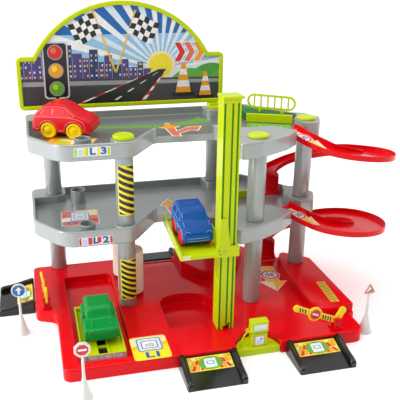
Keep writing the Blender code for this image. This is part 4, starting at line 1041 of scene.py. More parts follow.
# painted shade: dark green strips laid at the back of the tower's grooves stand in for the shade inside them
for i, gx in enumerate((222.0, 233.0, 240.8)):
    z0 = 26.5 if i == 1 else 21.0
    strip = box("tower_groove_%d_floor" % i, gx - 1.32, gx + 1.32, ty0 + 2.0, ty0 + 2.94, z0, TOWER_TOP - 5.6)
    finish(strip, LIME_PAINTED_SHADE, "chassis", weighted=False)

# ------------------------------------------------------------ lift platform
soften("lift_platform", 0.55, 2, LIME)

# ------------------------------------------------------------ sign feet and small pieces
for n in ("sign_foot_left", "sign_foot_right", "fuel_pump", "service_tray", "railing_beam", "wheel_stop"):
    soften(n, 0.8, 3, LIME)
soften("roof_railing", 0.45, 2, LIME)
soften("railing_stand", 0.8, 2, DARK_GREEN)
dress("pump_hose", LIME)
for n in ("barrier_arm_left", "barrier_arm_right"):
    soften(n, 0.7, 3, YELLOW)
for n in ("barrier_post_left", "barrier_post_right"):
    soften(n, 0.6, 2, RED)
for n in ("barrier_pin_left", "barrier_pin_right"):
    dress(n, RED)
dress("sign_panel", INK["sky"])

# ------------------------------------------------------------ wash rollers
for name, x, y, r, h in (("front", 112.0, -125.0, 21.0, 76.0), ("rear", 111.0, -60.0, 20.0, 112.0)):
    z0, z1 = FLOOR + 3.5, FLOOR + 4 + h
    prof = [(3.4, z1), (r - 3.5, z1), (r - 1.6, z1 - 0.3), (r - 0.6, z1 - 1.1), (r, z1 - 2.6)]
    prof += [(r, z0 + 2.6), (r - 0.6, z0 + 1.1), (r - 1.6, z0 + 0.3), (r - 3.5, z0), (3.4, z0)]
    finish(turned("wash_roller_%s_foam" % name, x, y, prof, 80, closed=True), CREAM, "roller_" + name,
           ["wash_roller_" + name])
    dress("roller_pin_" + name, CREAM)

# ------------------------------------------------------------ cars
WHEEL_R, WHEELBASE = 12.5, 41.0
SALOON = [(-46, 10, 2, 3), (44, 9, 2, 4), (48, 14, 1.6, 5), (47, 25, 1.4, 9), (37, 32, 1.2, 14), (24, 37, 1.5, 16),
          (7, 50, 6, 24), (-8, 54, 7, 24), (-28, 51, 6.5, 24), (-41, 38, 2.5, 18), (-47, 27, 1, 8), (-47.5, 15, 1, 4)]
VAN = [(-41, 10, 2, 3), (37, 9, 2, 4), (41, 14, 1.4, 5), (40, 25, 1.2, 8), (31, 31, 1.2, 14), (19, 37, 1.5, 18),
       (9, 49, 5, 22), (-4, 52, 5.5, 24), (-32, 52, 5.5, 14), (-39, 48, 5, 8), (-43, 28, 1, 8), (-43, 15, 1, 4)]
JEEP = [(-44, 11, 4.5, 3), (44, 10, 2.5, 3), (46.5, 13, 2, 4), (46, 29, 2, 6), (20, 32.5, 3, 8), (13, 44, 6, 6),
        (4, 48.5, 7, 10), (-24, 49, 7, 6), (-27, 40, 6, 3), (-42, 39, 6, 4), (-46, 28, 5.5, 4), (-46.5, 15, 5.5, 4)]


def car_place(x, y, z, rz):
    c, s = math.cos(math.radians(rz)), math.sin(math.radians(rz))

    def place(a, b, h):
        return W(x + a * c - b * s, y + a * s + b * c, z + h)
    return place


def rod_between(name, p0, p1, r, place, n=40):
    a, b = place(*p0), place(*p1)
    bm = bmesh.new()
    d = b - a
    q = d.to_track_quat("Z", "Y").to_matrix().to_4x4()
    bmesh.ops.create_cone(bm, cap_ends=True, segments=n, radius1=r * MM, radius2=r * MM, depth=d.length,
                          matrix=Matrix.Translation((a + b) / 2) @ q)
    return from_bm(name, bm)


def piping(name, lines, r, place, mat, body):
    """Raised seams: thin rounded beads along the given points."""
    bm = bmesh.new()
    for pts in lines:
        ps = [place(*p) for p in pts]
        rings = []
        for i, p in enumerate(ps):
            d = (ps[min(i + 1, len(ps) - 1)] - ps[max(i - 1, 0)]).normalized()
            up = Vector((0, 0, 1)) if abs(d.z) < 0.9 else Vector((1, 0, 0))
            s = d.cross(up).normalized()
            t = s.cross(d).normalized()
            rr = r * MM * (0.45 if i in (0, len(ps) - 1) else 1.0)
            rings.append([bm.verts.new(p + s * rr * math.cos(k * math.pi / 3) + t * rr * math.sin(k * math.pi / 3))
                          for k in range(6)])
        for a, b in zip(rings, rings[1:]):
            for k in range(6):
                j = (k + 1) % 6
                bm.faces.new((a[k], a[j], b[j], b[k]))
        bm.faces.new(rings[0][::-1])
        bm.faces.new(rings[-1])
    return finish(from_bm(name, bm), mat, body, angle=70, weighted=False)


def wheelset(tag, end, s, place, half, mat):
    bm = bmesh.new()

    def lathe(prof, n=48):
        rings = []
        for r, w in prof:
            if r < 1e-6:
                rings.append([bm.verts.new(place(s * WHEELBASE / 2, w, WHEEL_R))])
            else:
                rings.append([bm.verts.new(place(s * WHEELBASE / 2 + r * math.cos(t), w, WHEEL_R + r * math.sin(t)))
                              for t in [math.tau * k / n for k in range(n)]])
        for a, b in zip(rings, rings[1:]):
            for k in range(n):
                j = (k + 1) % n
                if len(a) == 1:
                    bm.faces.new((a[0], b[j], b[k]))
                elif len(b) == 1:
                    bm.faces.new((a[k], a[j], b[0]))
                else:
                    bm.faces.new((a[k], a[j], b[j], b[k]))

    for w in (-1, 1):
        i, o = w * (half - 8.0), w * (half - 1.0)
        R = WHEEL_R
        lathe([(0, i), (R - 1.2, i), (R - 0.35, i + w * 0.4), (R, i + w * 1.2), (R, o - w * 1.3),
               (R - 0.4, o - w * 0.4), (R - 1.3, o), (R - 2.6, o), (R - 3.2, o - w * 0.35), (R - 3.6, o - w * 1.0), (R - 4.4, o - w * 1.3),
               (R - 7.0, o - w * 1.1), (4.4, o - w * 0.7), (3.6, o - w * 0.25), (2.6, o - w * 0.05), (0, o)])
    lathe([(0, -half + 5), (1.6, -half + 5), (1.6, half - 5), (0, half - 5)], 20)
    node = "%s_%s_wheels" % (tag, end)
    return finish(from_bm(node + "_turned", bm), mat, "%s_car_%s_axle" % (tag, end), [node], angle=35)


def build_car(tag, x, y, z, rz, mat, wheel_mat, profile, half, lean=(1.4, 6.8, 29.0, 52.0), edge=0.84, plan=0.07,
              extra=None):
    place = car_place(x, y, z, rz)
    body = "%s_car" % tag
    outline = round_corners([(a, u, q) for a, u, k, q in profile], 10)
    fine = []
    for p, q in zip(outline, outline[1:] + outline[:1]):
        steps = max(1, round(math.dist(p, q) / 3.0))
        fine += [(p[0] + (q[0] - p[0]) * k / steps, p[1] + (q[1] - p[1]) * k / steps) for k in range(steps)]

    def flank(a, u):
        """Half width: upright to the waist, then leaning in, and drawn in towards nose and tail."""
        t = max(0.0, min(1.0, (u - lean[2]) / (lean[3] - lean[2])))
        t = t * t * (3 - 2 * t)
        return (half - lean[0] - (lean[1] - lean[0]) * t) * (1.0 - plan * (min(47.0, abs(a)) / 47.0) ** 4)

    half_fs = [0.0, 0.2, 0.4, 0.55, 0.7, edge] + [edge + (1 - edge) * k for k in (0.2, 0.38, 0.55, 0.7, 0.83, 0.93, 0.985, 1.0)]
    fs = [-f for f in half_fs[:0:-1]] + half_fs
    rings = []
    for f in fs:
        e = abs(f)
        pull = 0.0 if e < edge else 1 - math.sqrt(max(0.0, 1 - ((e - edge) / (1 - edge)) ** 2))
        crown = 1.0 + 0.012 * (1 - (e / edge) ** 2) if e < edge else 1.0
        ring = []
        for a, u in fine:
            aa, uu = a * (crown - 0.055 * pull), 24.0 + (u - 24.0) * (crown - 0.11 * pull)
            ring.append((aa, f * flank(aa, uu), uu))
        rings.append(ring)

    def inner(w, k):
        pts = [(a * 0.945 * k, 24.0 + (u - 24.0) * 0.89 * k) for a, u in fine]
        return [(a, w * flank(a, u), u) for a, u in pts]

    shrink = (0.9, 0.78, 0.64, 0.5, 0.36, 0.22, 0.1)
    rings = [inner(-1, k) for k in shrink[::-1]] + rings + [inner(1, k) for k in shrink]
    shell = skin(tag + "_body_shell", rings, place=place)
    if extra:
        join(shell, *extra(place))
    tools = []
    for s in (-1, 1):
        for w in (-1, 1):
            tools.append(rod_between("well", (s * WHEELBASE / 2, w * (half - 8.9), WHEEL_R),
                                     (s * WHEELBASE / 2, w * (half + 9), WHEEL_R), WHEEL_R + 1.5, place, 48))
        tools.append(rod_between("bore", (s * WHEELBASE / 2, -half - 5, WHEEL_R),
                                 (s * WHEELBASE / 2, half + 5, WHEEL_R), 2.0, place, 16))
    cut(shell, *tools)
    finish(shell, mat, body, [tag + "_car_body"], angle=40)
    for s, end in ((1, "front"), (-1, "rear")):
        wheelset(tag, end, s, place, half, wheel_mat)

    def on_side(a, u, w, out=0.1):
        a, u = a * 0.945, 24.0 + (u - 24.0) * 0.89
        return (a, w * (flank(a, u) + out), u)

    def arch(s, w, r=15.2):
        return [(a, w * (flank(a, u) + 0.1), u) for a, u in arc_line((s * WHEELBASE / 2, WHEEL_R), r, 6, 174)]

    return place, on_side, arch


def panes(name, shapes, side, place, mat, body):
    """Window panels that follow the car's side and stand a hair proud of it."""
    bm = bmesh.new()
    for corners in shapes:
        pts = round_corners(ccw([(*c, 1.6) for c in corners]), 4)
        pts = dense(pts, 2.5, True)[:-1]
        ca, cu = sum(p[0] for p in pts) / len(pts), sum(p[1] for p in pts) / len(pts)
        for w in (-1, 1):
            rings = [[bm.verts.new(place(*side(ca + (a - ca) * k, cu + (u - cu) * k, w, out))) for a, u in pts]
                     for k, out in ((0.05, 0.28), (0.4, 0.28), (0.75, 0.28), (0.96, 0.25), (1.0, 0.05), (1.0, -0.6),
                                    (0.5, -0.6), (0.05, -0.6))]
            n = len(pts)
            for p, q in zip(rings, rings[1:]):
                for k in range(n):
                    j = (k + 1) % n
                    bm.faces.new((p[k], p[j], q[j], q[k]))
            bm.faces.new(rings[0][::-1])
            bm.faces.new(rings[-1])
    return finish(from_bm(name, bm), mat, body, angle=50, weighted=False)


def arc_line(c, r, a0, a1, n=14):
    return [(c[0] + r * math.cos(math.radians(a0 + (a1 - a0) * k / n)),
             c[1] + r * math.sin(math.radians(a0 + (a1 - a0) * k / n))) for k in range(n + 1)]


def dense(pts, step=2.0, closed=False):
    out = []
    pairs = list(zip(pts, pts[1:])) + ([(pts[-1], pts[0])] if closed else [])
    for p, q in pairs:
        n = max(1, round(math.dist(p, q) / step))
        out += [(p[0] + (q[0] - p[0]) * k / n, p[1] + (q[1] - p[1]) * k / n) for k in range(n)]
    out.append(pts[0] if closed else pts[-1])
    return out


Z3 = DECKS[3] + DECK_FLOOR
place, side, arch = build_car("red", 24.5, -74.5, Z3 + 0.3, -24.0, RED_CAR, YELLOW, SALOON, 27.0, (1.4, 7.4, 30.0, 54.0), 0.86, 0.09)
# painted light: the panels' lighter red stands in for the light on the upper sides
panes("red_car_panes", [[(-38, 37.4), (-17.8, 37.4), (-16.8, 48.8), (-27, 47.6)],
                        [(-14.2, 37.4), (8.4, 37.4), (9.8, 44.4), (4.6, 47.8), (-7, 50.2), (-13.4, 49.6)],
                        [(11.6, 37.4), (21.0, 37.4), (12.8, 43.4)]], side, place, RED_PANE_PAINTED_LIGHT, "red_car")
lines = []
for w in (-1, 1):
    for s in (-1, 1):
        lines.append(arch(s, w))
    roof = round_corners([(-44, 36.0, 2), (25.5, 36.0, 1), (7.5, 49.5, 9), (-8, 52.4, 9), (-27.5, 49.8, 9)], 6)
    lines.append([side(a, u, w) for a, u in dense(roof, 2.0, True)])
    lines.append([side(a, u, w) for a, u in dense([(-16, 36.5), (-15, 50.6)], 2)])
    lines.append([side(a, u, w) for a, u in dense([(9.8, 36.8), (11.6, 45.6)], 2)])
    lines.append([side(a, u, w) for a, u in dense([(-46.0, 33.2), (-30, 34.2), (20, 33.6), (31, 31.2), (37.5, 26.5), (40.5, 20), (41, 13)], 2)])
    lines.append([side(a, u, w) for a, u in dense([(-44.4, 31), (-45.0, 24), (-44.6, 14)], 2)])
    lines.append([side(a, u, w) for a, u in dense([(-4.8, 11.6), (4.8, 11.6)], 2)])
    lines.append([side(a, u, w) for a, u in dense([(-45, 13.4), (-37, 12.6)], 2)])
    lines.append([side(a, u, w) for a, u in dense([(36.5, 13.0), (41, 13.0)], 2)])
# painted highlight: the raised seam beads get a lighter red in place of edge glints
piping("red_car_seams", lines, 0.62, place, RED_SEAM_PAINTED_HIGHLIGHT, "red_car")
# front of the red car: bumper lip and two lamps
lines = [[(47.2 - 0.0045 * v * v, v, 20.5) for v in [k * 2.0 for k in range(-11, 12)]]]
for w in (-1, 1):
    lines.append([(46.2 - 0.2 * math.cos(t), w * 17 + 4.2 * math.cos(t), 26.5 + 2.6 * math.sin(t))
                  for t in [math.tau * k / 20 for k in range(21)]])
piping("red_car_front_lines", lines, 0.5, place, RED_CAR, "red_car")

place, side, arch = build_car("blue", 193.6, -211.0, LIFT_Z + 0.3, -90.0, BLUE, RED_WHEEL, VAN, 24.5, (1.2, 6.2, 30.0, 52.0), 0.82, 0.05)
lines = []
for w in (-1, 1):
    for s in (-1, 1):
        lines.append(arch(s, w))
    win = round_corners([(-36, 36.2, 3), (18, 36.2, 2), (8, 47.6, 5), (-36, 49.0, 4)], 6)
    lines.append([side(a, u, w) for a, u in dense(win, 2.0, True)])
    lines.append([side(a, u, w) for a, u in dense([(-12, 36.2), (-12, 48.6)], 2)])
    lines.append([side(a, u, w) for a, u in dense([(-42, 30.8), (20, 30.5), (36, 26)], 2)])
# painted highlight: the raised seam beads get a lighter blue in place of edge glints
piping("blue_car_seams", lines, 0.5, place, BLUE_SEAM_PAINTED_HIGHLIGHT, "blue_car")
lines = []
for w in (-1, 1):
    # pillar and bonnet edges, seen from the front, in a lighter blue as painted highlights
    lines.append([(19 - (k / 8) * 9.5, w * (19.2 - 1.6 * k / 8), 38.3 + (k / 8) * 10.4) for k in range(1, 8)])
    lines.append([(20 + (k / 8) * 12.0, w * (19.6 - 0.8 * k / 8), 37.2 - (k / 8) * 4.6) for k in range(1, 9)])
    lines.append([(39.6, w * 16 + 4.4 * math.cos(t), 24.2 + 3.0 * math.sin(t)) for t in [math.tau * k / 20 for k in range(21)]])
lines.append([(41.4 - 0.0035 * v * v, v, 17.0) for v in [k * 2.0 for k in range(-9, 10)]])
lines.append([(41.6 - 0.0035 * v * v, v, 13.2) for v in [k * 2.0 for k in range(-9, 10)]])
piping("blue_car_front_lines", lines, 0.5, place, BLUE_SEAM_PAINTED_HIGHLIGHT, "blue_car")


def fenders(place):
    """Wide mudguards of the green car, front pair joined to its nose."""
    out = []
    for w in (-1, 1):
        for shape in ([(5.5, 13, 2), (45.8, 13, 3), (45.6, 27.5, 6), (33, 32.0, 8), (12, 31.5, 8), (6.5, 25, 3)],
                      [(-40.5, 14, 2), (-4.5, 14, 2), (-5.5, 24, 3), (-11, 31.5, 8), (-32, 31.5, 8), (-39.5, 25, 5)]):
            rings = []
            for v, d in ((11.9, 0.0), (23.1, 0.0), (24.2, 0.35), (25.0, 1.0), (25.35, 2.0)):
                ring = [(a, w * v, u) for a, u in round_corners(offset([(*c, c[2] <= 0.01) for c in shape], d), 6)]
                rings.append(ring)
            out.append(skin("fender", rings, place=place))
    return out


place, side, arch = build_car("green", 47.4, -217.0, BAY + 0.3 + 3.0 + 0.3, -90.0, GREEN, GREEN, JEEP, 25.4, (4.4, 7.6, 30.0, 50.0),
                              0.84, 0.03, fenders)
lines = []
for w in (-1, 1):
    for s in (-1, 1):
        lines.append([(a, w * 25.4, u) for a, u in arc_line((s * 20.5, WHEEL_R), 15.4, 6, 174)])
    win = round_corners([(-20, 35.4, 2), (14, 35.4, 2), (10.5, 45.5, 2), (-20, 46.2, 2)], 4)
    lines.append([side(a, u, w) for a, u in dense(win, 2.0, True)])
    lines.append([(19 + k * 3.0, w * 13.5, 33.0 - 0.27 * k) for k in range(0, 8)])
lines.append([(17.0, v, 36.4) for v in [k * 2.0 for k in range(-7, 8)]])
lines.append([(12.6, v, 45.2) for v in [k * 2.0 for k in range(-6, 7)]])
for w in (-1, 1):
    lines.append([(17.0 - 4.4 * k / 6, w * (14.5 - 1.2 * k / 6), 36.4 + 8.8 * k / 6) for k in range(7)])
    lines.append([(46.0, w * 15 + 4.0 * math.cos(t), 23.5 + 4.0 * math.sin(t)) for t in [math.tau * k / 20 for k in range(21)]])
for k in range(5):
    lines.append([(46.4, -8 + k * 4.0, 18.5), (46.4, -8 + k * 4.0, 23.0), (46.3, -8 + k * 4.0, 27.5)])
# painted highlight: the raised seam beads get a lighter green in place of edge glints
piping("green_car_seams", lines, 0.55, place, GREEN_SEAM_PAINTED_HIGHLIGHT, "green_car")

# ------------------------------------------------------------ road signs
for name, x, y, kind in (("road_sign_round", -68.0, -180.0, "round"), ("road_sign_octagon", 11.0, -358.0, "octagon"),
                         ("road_sign_triangle", 453.0, -297.0, "triangle")):
    prof = [(0, 66.5), (1.9, 66.5), (1.95, 50), (2.1, 36), (2.5, 31), (3.6, 26.5), (8.6, 9.0), (9.6, 5.0), (10.5, 2.6),
            (11.0, 1.4), (10.9, 0.35), (10.5, 0.0), (0, 0.0)]
    post = turned(name + "_cone", x, y, prof, 56)
    if kind == "round":
        rings = lambda d: circle(0, 0, 11.0 - d, 48)
    elif kind == "octagon":
        rings = lambda d: circle(0, 0, 11.6 - d, 8, 22.5, 382.5)
    else:
        rings = lambda d: round_corners(offset([(-11.5, -8, 2.5), (11.5, -8, 2.5), (0, 12, 2.5)], d), 5)
    plate = skin(name + "_face", [[(x + a, y + dy, 75 + u) for a, u in rings(d)]
                                  for d, dy in ((0.5, -1.3), (0.1, -1.1), (0, -0.8), (0, 0.8), (0.1, 1.1), (0.5, 1.3))])
    join(post, plate)
    body = name.replace("road_", "")
    finish(post, WHITE, body, [name])
    for back in (0, 1):
        lab = Label(name + ("_back_print" if back else "_front_print"),
                    plane(x, y + (1.3 if back else -1.3), 75, (-1, 0, 0) if back else (1, 0, 0), (0, 0, 1)), body)
        if kind == "round":
            lab.disc(0, 0, 9.2, 0, "blue", 40)
            lab.poly([(-1.7, -6.0), (1.7, -6.0), (1.7, 0.5), (-1.7, 0.5)], 1, "white")
            lab.poly([(-5.0, 0.4), (5.0, 0.4), (0, 6.4)], 1, "white")
        elif kind == "octagon":
            lab.poly([(a * 0.78, b * 0.78) for a, b in circle(0, 0, 10.6, 8, 22.5, 382.5)], 0, "red")
            lab.rect(-5.6, 5.6, -1.5, 1.5, 1, "white")
        else:
            lab.poly(round_corners(offset([(-9.4, -6.8, 1.6), (9.4, -6.8, 1.6), (0, 9.6, 1.6)], 0.0), 4), 0, "coral")
            lab.poly(round_corners([(-5.6, -4.6, 0.8), (5.6, -4.6, 0.8), (0, 5.2, 0.8)], 4), 1, "white")
            lab.poly([(-4.4, -4.0), (4.4, -4.0), (4.4, 0.4)], 2, "brown")
        lab.done()

# ------------------------------------------------------------ labels on the decks and columns
lab = Label("level_3_label", plane(26.0, -181.6, 286.0, (105, -0.5, 0), (0, 0, 1)), "chassis")
lab.rect(0, 53, -6.6, 6.6, 0, "white", 0.6)
lab.rect(0.8, 4.8, -5.8, 5.8, 1, "lime").rect(14.2, 17.4, -5.8, 5.8, 1, "yellow").rect(17.4, 20.5, -5.8, 5.8, 1, "lime")
lab.rect(34.2, 37.6, -5.8, 5.8, 1, "yellow").rect(48.6, 52.2, -5.8, 5.8, 1, "lime")
lab.rect(5.6, 13.4, -5.8, 5.8, 1, "pale", 0.8).rect(7.2, 11.8, -3.6, 2.2, 2, "sky").rect(8.4, 10.6, -2.4, 1.0, 3, "white")
lab.text("L", 26.8, 0.0, 14.2, 3, "blue", 1.25, 0.62).text("3", 43.0, 0.0, 14.2, 3, "blue", 1.32, 0.62)
lab.done()
lab = Label("level_2_label", plane(26.0, -181.6, 146.0, (105, -0.5, 0), (0, 0, 1)), "chassis")
lab.rect(0, 52, -6.6, 6.6, 0, "white", 0.6)
lab.rect(0.8, 4.0, -5.8, 5.8, 1, "red").rect(14.4, 20.4, -5.8, 5.8, 1, "red").rect(28.0, 34.0, -3.2, 5.8, 1, "red")
lab.rect(47.6, 51.2, -5.8, 5.8, 1, "red")
lab.rect(5.2, 13.0, -5.8, 5.8, 1, "pale", 0.8).rect(6.8, 11.4, -3.6, 2.2, 2, "sky").rect(8.0, 10.2, -2.4, 1.0, 3, "white")
lab.text("L", 25.6, 0.0, 14.2, 3, "blue", 1.25, 0.62).text("2", 41.0, 0.0, 14.2, 3, "blue", 1.32, 0.62)
lab.done()

# striped sleeves on the front left column
for tag, z0, z1 in (("upper", 179.0, 259.0), ("lower", 34.0, 104.0)):
    lab = Label("column_stripes_" + tag, wrap(101.0, -160.0, 0.0, 14.0, -78.0), "chassis", bend=1.0, step=1.0)
    u0, u1 = -16.2, 16.2
    lab.rect(u0, u1, z0, z1, 0, "yellow")
    lab.rect(u0 + 1.5, u1 - 1.5, z0 + 1.5, z1 - 1.5, 1, "black")
    slope, band, pitch = 0.46, 4.3 if tag == "upper" else 3.9, 10.4 if tag == "upper" else 9.2
    k = -4
    while True:
        v = z0 + k * pitch
        quad = [(u0 + 1.4, v - slope * (u0 + 1.4)), (u1 - 1.4, v - slope * (u1 - 1.4)),
                (u1 - 1.4, v - slope * (u1 - 1.4) + band), (u0 + 1.4, v - slope * (u0 + 1.4) + band)]
        quad = clip(clip(quad, (0, -1, -(z0 + 1.4))), (0, 1, z1 - 1.4))
        if len(quad) > 2:
            lab.poly(quad, 2, "yellow")
        k += 1
        if v > z1 + 20:
            break
    lab.done()


def floor_label(name, x, y, z, rz, body="chassis"):
    c, s = math.cos(math.radians(rz)), math.sin(math.radians(rz))
    return Label(name, plane(x, y, z, (c, s, 0), (-s, c, 0)), body)


# cards on the floors
lab = floor_label("card_level_1", 112.0, -293.0, FLOOR, 0)
lab.rect(-27, 27, -29, 29, 0, "yellow", 5)
lab.poly([(-26, 5), (26, 12), (26, 24), (22, 28), (-22, 28), (-26, 24)], 1, "cream")
lab.poly([(-26, 6), (-26, -2), (26, 4), (26, 12)], 2, "gold")
lab.rect(-18, 18, -8, 24, 3, "blue", 4).rect(-16.4, 16.4, -6.4, 22.4, 4, "pale", 3)
lab.rect(-12, 12, -2, 17, 5, "violet", 1.5).rect(-10.6, 10.6, -0.6, 15.6, 6, "white", 1.0)
lab.rect(-6.4, 6.4, 2.4, 9.0, 7, "grey", 1.5).rect(-5.0, 5.0, 4.2, 7.2, 8, "pale", 1.0)
lab.text("L1", 2.0, -18.5, 17.5, 3, "blue", 1.4, 0.8)
lab.done()

lab = floor_label("card_level_2", 36.0, -92.5, DECKS[2] + DECK_FLOOR, -2)
lab.rect(-30, 30, -31, 31, 0, "white", 3)
lab.rect(-29, 29, -30, 30, 1, "coral", 3)
lab.poly([(-8, 30), (29, 30), (29, 6), (8, 9)], 2, "cream")
lab.poly([(-29, 0), (-14, 3), (-14, -12), (-29, -15)], 2, "white")
lab.poly([(14, -9), (29, -6), (29, -20), (14, -24)], 2, "red")
lab.rect(-15, 15, -13, 24, 3, "blue", 3).rect(-13.8, 13.8, -11.8, 22.8, 4, "pale", 2)
lab.rect(-9.5, 9.5, -6, 16, 5, "blue", 1).rect(-8.5, 8.5, -5, 15, 6, "white", 1)
lab.rect(-5, 5, -1, 7, 7, "silver", 1)
lab.text("L2", -13, -21.5, 12.5, 3, "blue", 1.3, 0.5)
lab.done()


ARROW = [(174, -63), (194, -32), (211, -62), (201.5, -68), (200.5, -86), (224, -63), (248, -64), (233, -95.5),
         (224, -88), (201, -104), (200, -122), (185, -117.5), (183.5, -68)]


def bent_arrow(name, dx, dy, z):
    """An arrow that turns from the lane towards the lift."""
    lab = floor_label(name, dx, dy, z, 0)
    pts = ARROW[::-1] if sum(a[0] * b[1] - b[0] * a[1] for a, b in zip(ARROW, ARROW[1:] + ARROW[:1])) < 0 else ARROW
    lab.poly(pts, 0, "white")
    inner = [(x, y) for x, y, *_ in offset([(*p, 0.0) for p in pts], 2.0)]
    lab.poly(inner, 1, "coral")
    head = clip(inner, (0, -1, 72))
    if len(head) > 2:
        lab.poly(head, 2, "orange")
    lab.done()


bent_arrow("arrow_level_3", 0.0, 0.0, Z3)
bent_arrow("arrow_level_2", -1.5, -8.0, DECKS[2] + DECK_FLOOR)


def strip_label(name, pts, widths, z, ink, layer=0):
    """A curvy strip on a floor: centre line and half widths."""
    path = catmull([(*p, w) for p, w in zip(pts, widths)], 6)
    left, right = [], []
    for i, (x, y, w) in enumerate(path):
        a, b = path[max(i - 1, 0)], path[min(i + 1, len(path) - 1)]
        d = Vector((b[0] - a[0], b[1] - a[1])).normalized()
        left.append((x - d.y * w, y + d.x * w))
        right.append((x + d.y * w, y - d.x * w))
    lab = Label(name, plane(0, 0, z), "chassis")
    for i in range(len(path) - 1):
        lab.poly([left[i], right[i], right[i + 1], left[i + 1]], layer, ink)
    return lab


strip_label("green_strip_level_3", [(62, -39), (80, -39.5), (129, -47), (176, -51), (212, -47), (240, -36), (266, -18)],
            [4, 8, 8.5, 8.5, 8.5, 12, 17], Z3, "leaf").done()

lab = floor_label("card_level_3", 18.0, -108.0, Z3, -24)
lab.rect(-42, 46, -30, 24, 0, "gold", 4)
lab.poly([(-42, 14), (-24, 8), (-22, -28), (-38, -28), (-42, -24)], 1, "brown")
lab.poly([(-24, 8), (-12, 4), (-12, -28), (-22, -28)], 1, "orange")
lab.poly([(-8, -2), (10, -4), (12, 8), (-6, 10)], 1, "cream").poly([(-6, -16), (12, -16), (10, -4), (-8, -2)], 1, "lime")
lab.poly([(14, -14), (19, -14), (17, 3), (12, 3)], 2, "white").poly([(19, -14), (22, -14), (20, 3), (17, 3)], 2, "black")
lab.poly([(22, -14), (26, -14), (24, 3), (20, 3)], 2, "white").poly([(21, -22), (27, -22), (26, -15), (20, -15)], 2, "navy")
lab.poly([(28, 4), (44, 4), (42, 22), (28, 20)], 1, "cream").poly([(38, -18), (45, -16), (44, 4), (39, 3)], 1, "lime")
lab.done()

mat_pts = [(330, -60), (319, -86), (376, -117), (398, -92)]
lab = Label("green_mat_level_3", plane(0, 0, Z3), "chassis")
lab.poly(mat_pts, 0, "leaf")
for k in range(6):
    t0, t1 = 0.06 + k * 0.155, 0.06 + k * 0.155 + 0.085
    for dv, ink in ((7.0, "lime"), (16.0, "cream")):
        a = Vector((327 + 68 * t0, -60 - 32 * t0 - dv))
        b = Vector((327 + 68 * t1, -60 - 32 * t1 - dv))
        lab.poly([(a.x, a.y), (b.x, b.y), (b.x - 0.9, b.y - 1.9), (a.x - 0.9, a.y - 1.9)], 1, ink)
lab.done()


def speed_arrow(lab, length=76.0, width=30.0, r=15.5, stem=9.0):
    """Arrow that points to -v with a numbered disc on it."""
    w = stem
    L = length / 2
    lab.poly([(-w - 1.6, L + 1.6), (w + 1.6, L + 1.6), (w + 1.6, -L * 0.25), (width / 2 + 2.6, -L * 0.25), (0, -L - 2.6),
              (-width / 2 - 2.6, -L * 0.25), (-w - 1.6, -L * 0.25)], 0, "white")
    lab.poly([(-w, L), (w, L), (w, -L * 0.29), (width / 2, -L * 0.29), (0, -L), (-width / 2, -L * 0.29),
              (-w, -L * 0.29)], 1, "gold")
    lab.poly([(-w, L), (w, L), (w * 0.2, L * 0.4), (-w, L * 0.45)], 2, "yellow")
    lab.poly([(-width / 2, -L * 0.29), (0, -L * 0.29), (0, -L)], 2, "cream")
    lab.disc(0, L * 0.28, r + 1.4, 3, "white", 44).disc(0, L * 0.28, r, 4, "red", 44)
    lab.disc(0, L * 0.28, r * 0.76, 5, "white", 44)
    lab.text("30", 0, L * 0.28, r * 1.05, 5, "black", 1.0, 0.3, -1.0)
    return lab


speed_arrow(floor_label("speed_arrow_level_1", 360.0, -133.0, FLOOR, -8.6), 88, 44, 16.5, 10.7).done()


def on_ramp(ctrl, landing, t_mid, name, turn=0.0):
    """A speed arrow laid on the top stretch of a spiral ramp."""
    path = catmull(ctrl, 9)
    n = len(path)
    dist = [0.0]
    for a, b in zip(path, path[1:]):
        dist.append(dist[-1] + math.dist(a[:2], b[:2]))

    def place(u, v, h):
        s = t_mid - v
        i = 0
        while i < n - 2 and dist[i + 1] < s:
            i += 1
        f = (s - dist[i]) / (dist[i + 1] - dist[i])
        a, b = path[i], path[i + 1]
        x, y, z = (a[k] + (b[k] - a[k]) * f for k in range(3))
        p, q = path[max(i - 1, 0)], path[min(i + 2, n - 1)]
        d = Vector((q[0] - p[0], q[1] - p[1])).normalized()
        return W(x + d.y * -u * -1, y - d.x * -u * -1, landing + z + h + 0.05)
    lab = Label(name, place, "chassis")
    speed_arrow(lab, 60, 28, 12.5, 7.8)
    # cut it into short cells along the ramp, so that it follows the slope
    bm = lab.bm
    for k in range(-12, 13):
        bmesh.ops.bisect_plane(bm, geom=bm.verts[:] + bm.edges[:] + bm.faces[:],
                               plane_co=(0, k * 3.0, 0), plane_no=(0, 1, 0))
    return lab.done()


on_ramp(SPIRAL_HIGH, 151.0, 46.0, "speed_arrow_upper")
on_ramp(SPIRAL_LOW, 22.0, 46.0, "speed_arrow_lower")

# hazard stripes on the right block
lab = Label("hazard_strip", plane(423.0, -222.0, BLOCK_R, (0.997, -0.077, 0), (0.077, 0.997, 0)), "chassis")
lab.rect(-7, 7, -33.5, 33.5, 0, "yellow")
for k in range(-9, 10):
    quad = [(-6.0, k * 4.4 - 3), (6.0, k * 4.4 + 0.6), (6.0, k * 4.4 + 2.7), (-6.0, k * 4.4 - 0.9)]
    quad = clip(clip(quad, (0, -1, 32.4)), (0, 1, 32.4))
    if len(quad) > 2:
        lab.poly(quad, 1, "brown" if k % 2 else "black")
lab.done()

# painted shadow: a black sheet on the bay floor under the tray stands in for the shaded hollow seen through its slots
lab = Label("tray_painted_shadow", plane(46.0, -246.0, BAY), "chassis")
lab.rect(-28, 28, -43, 60, 0, "black", 3)
lab.done()

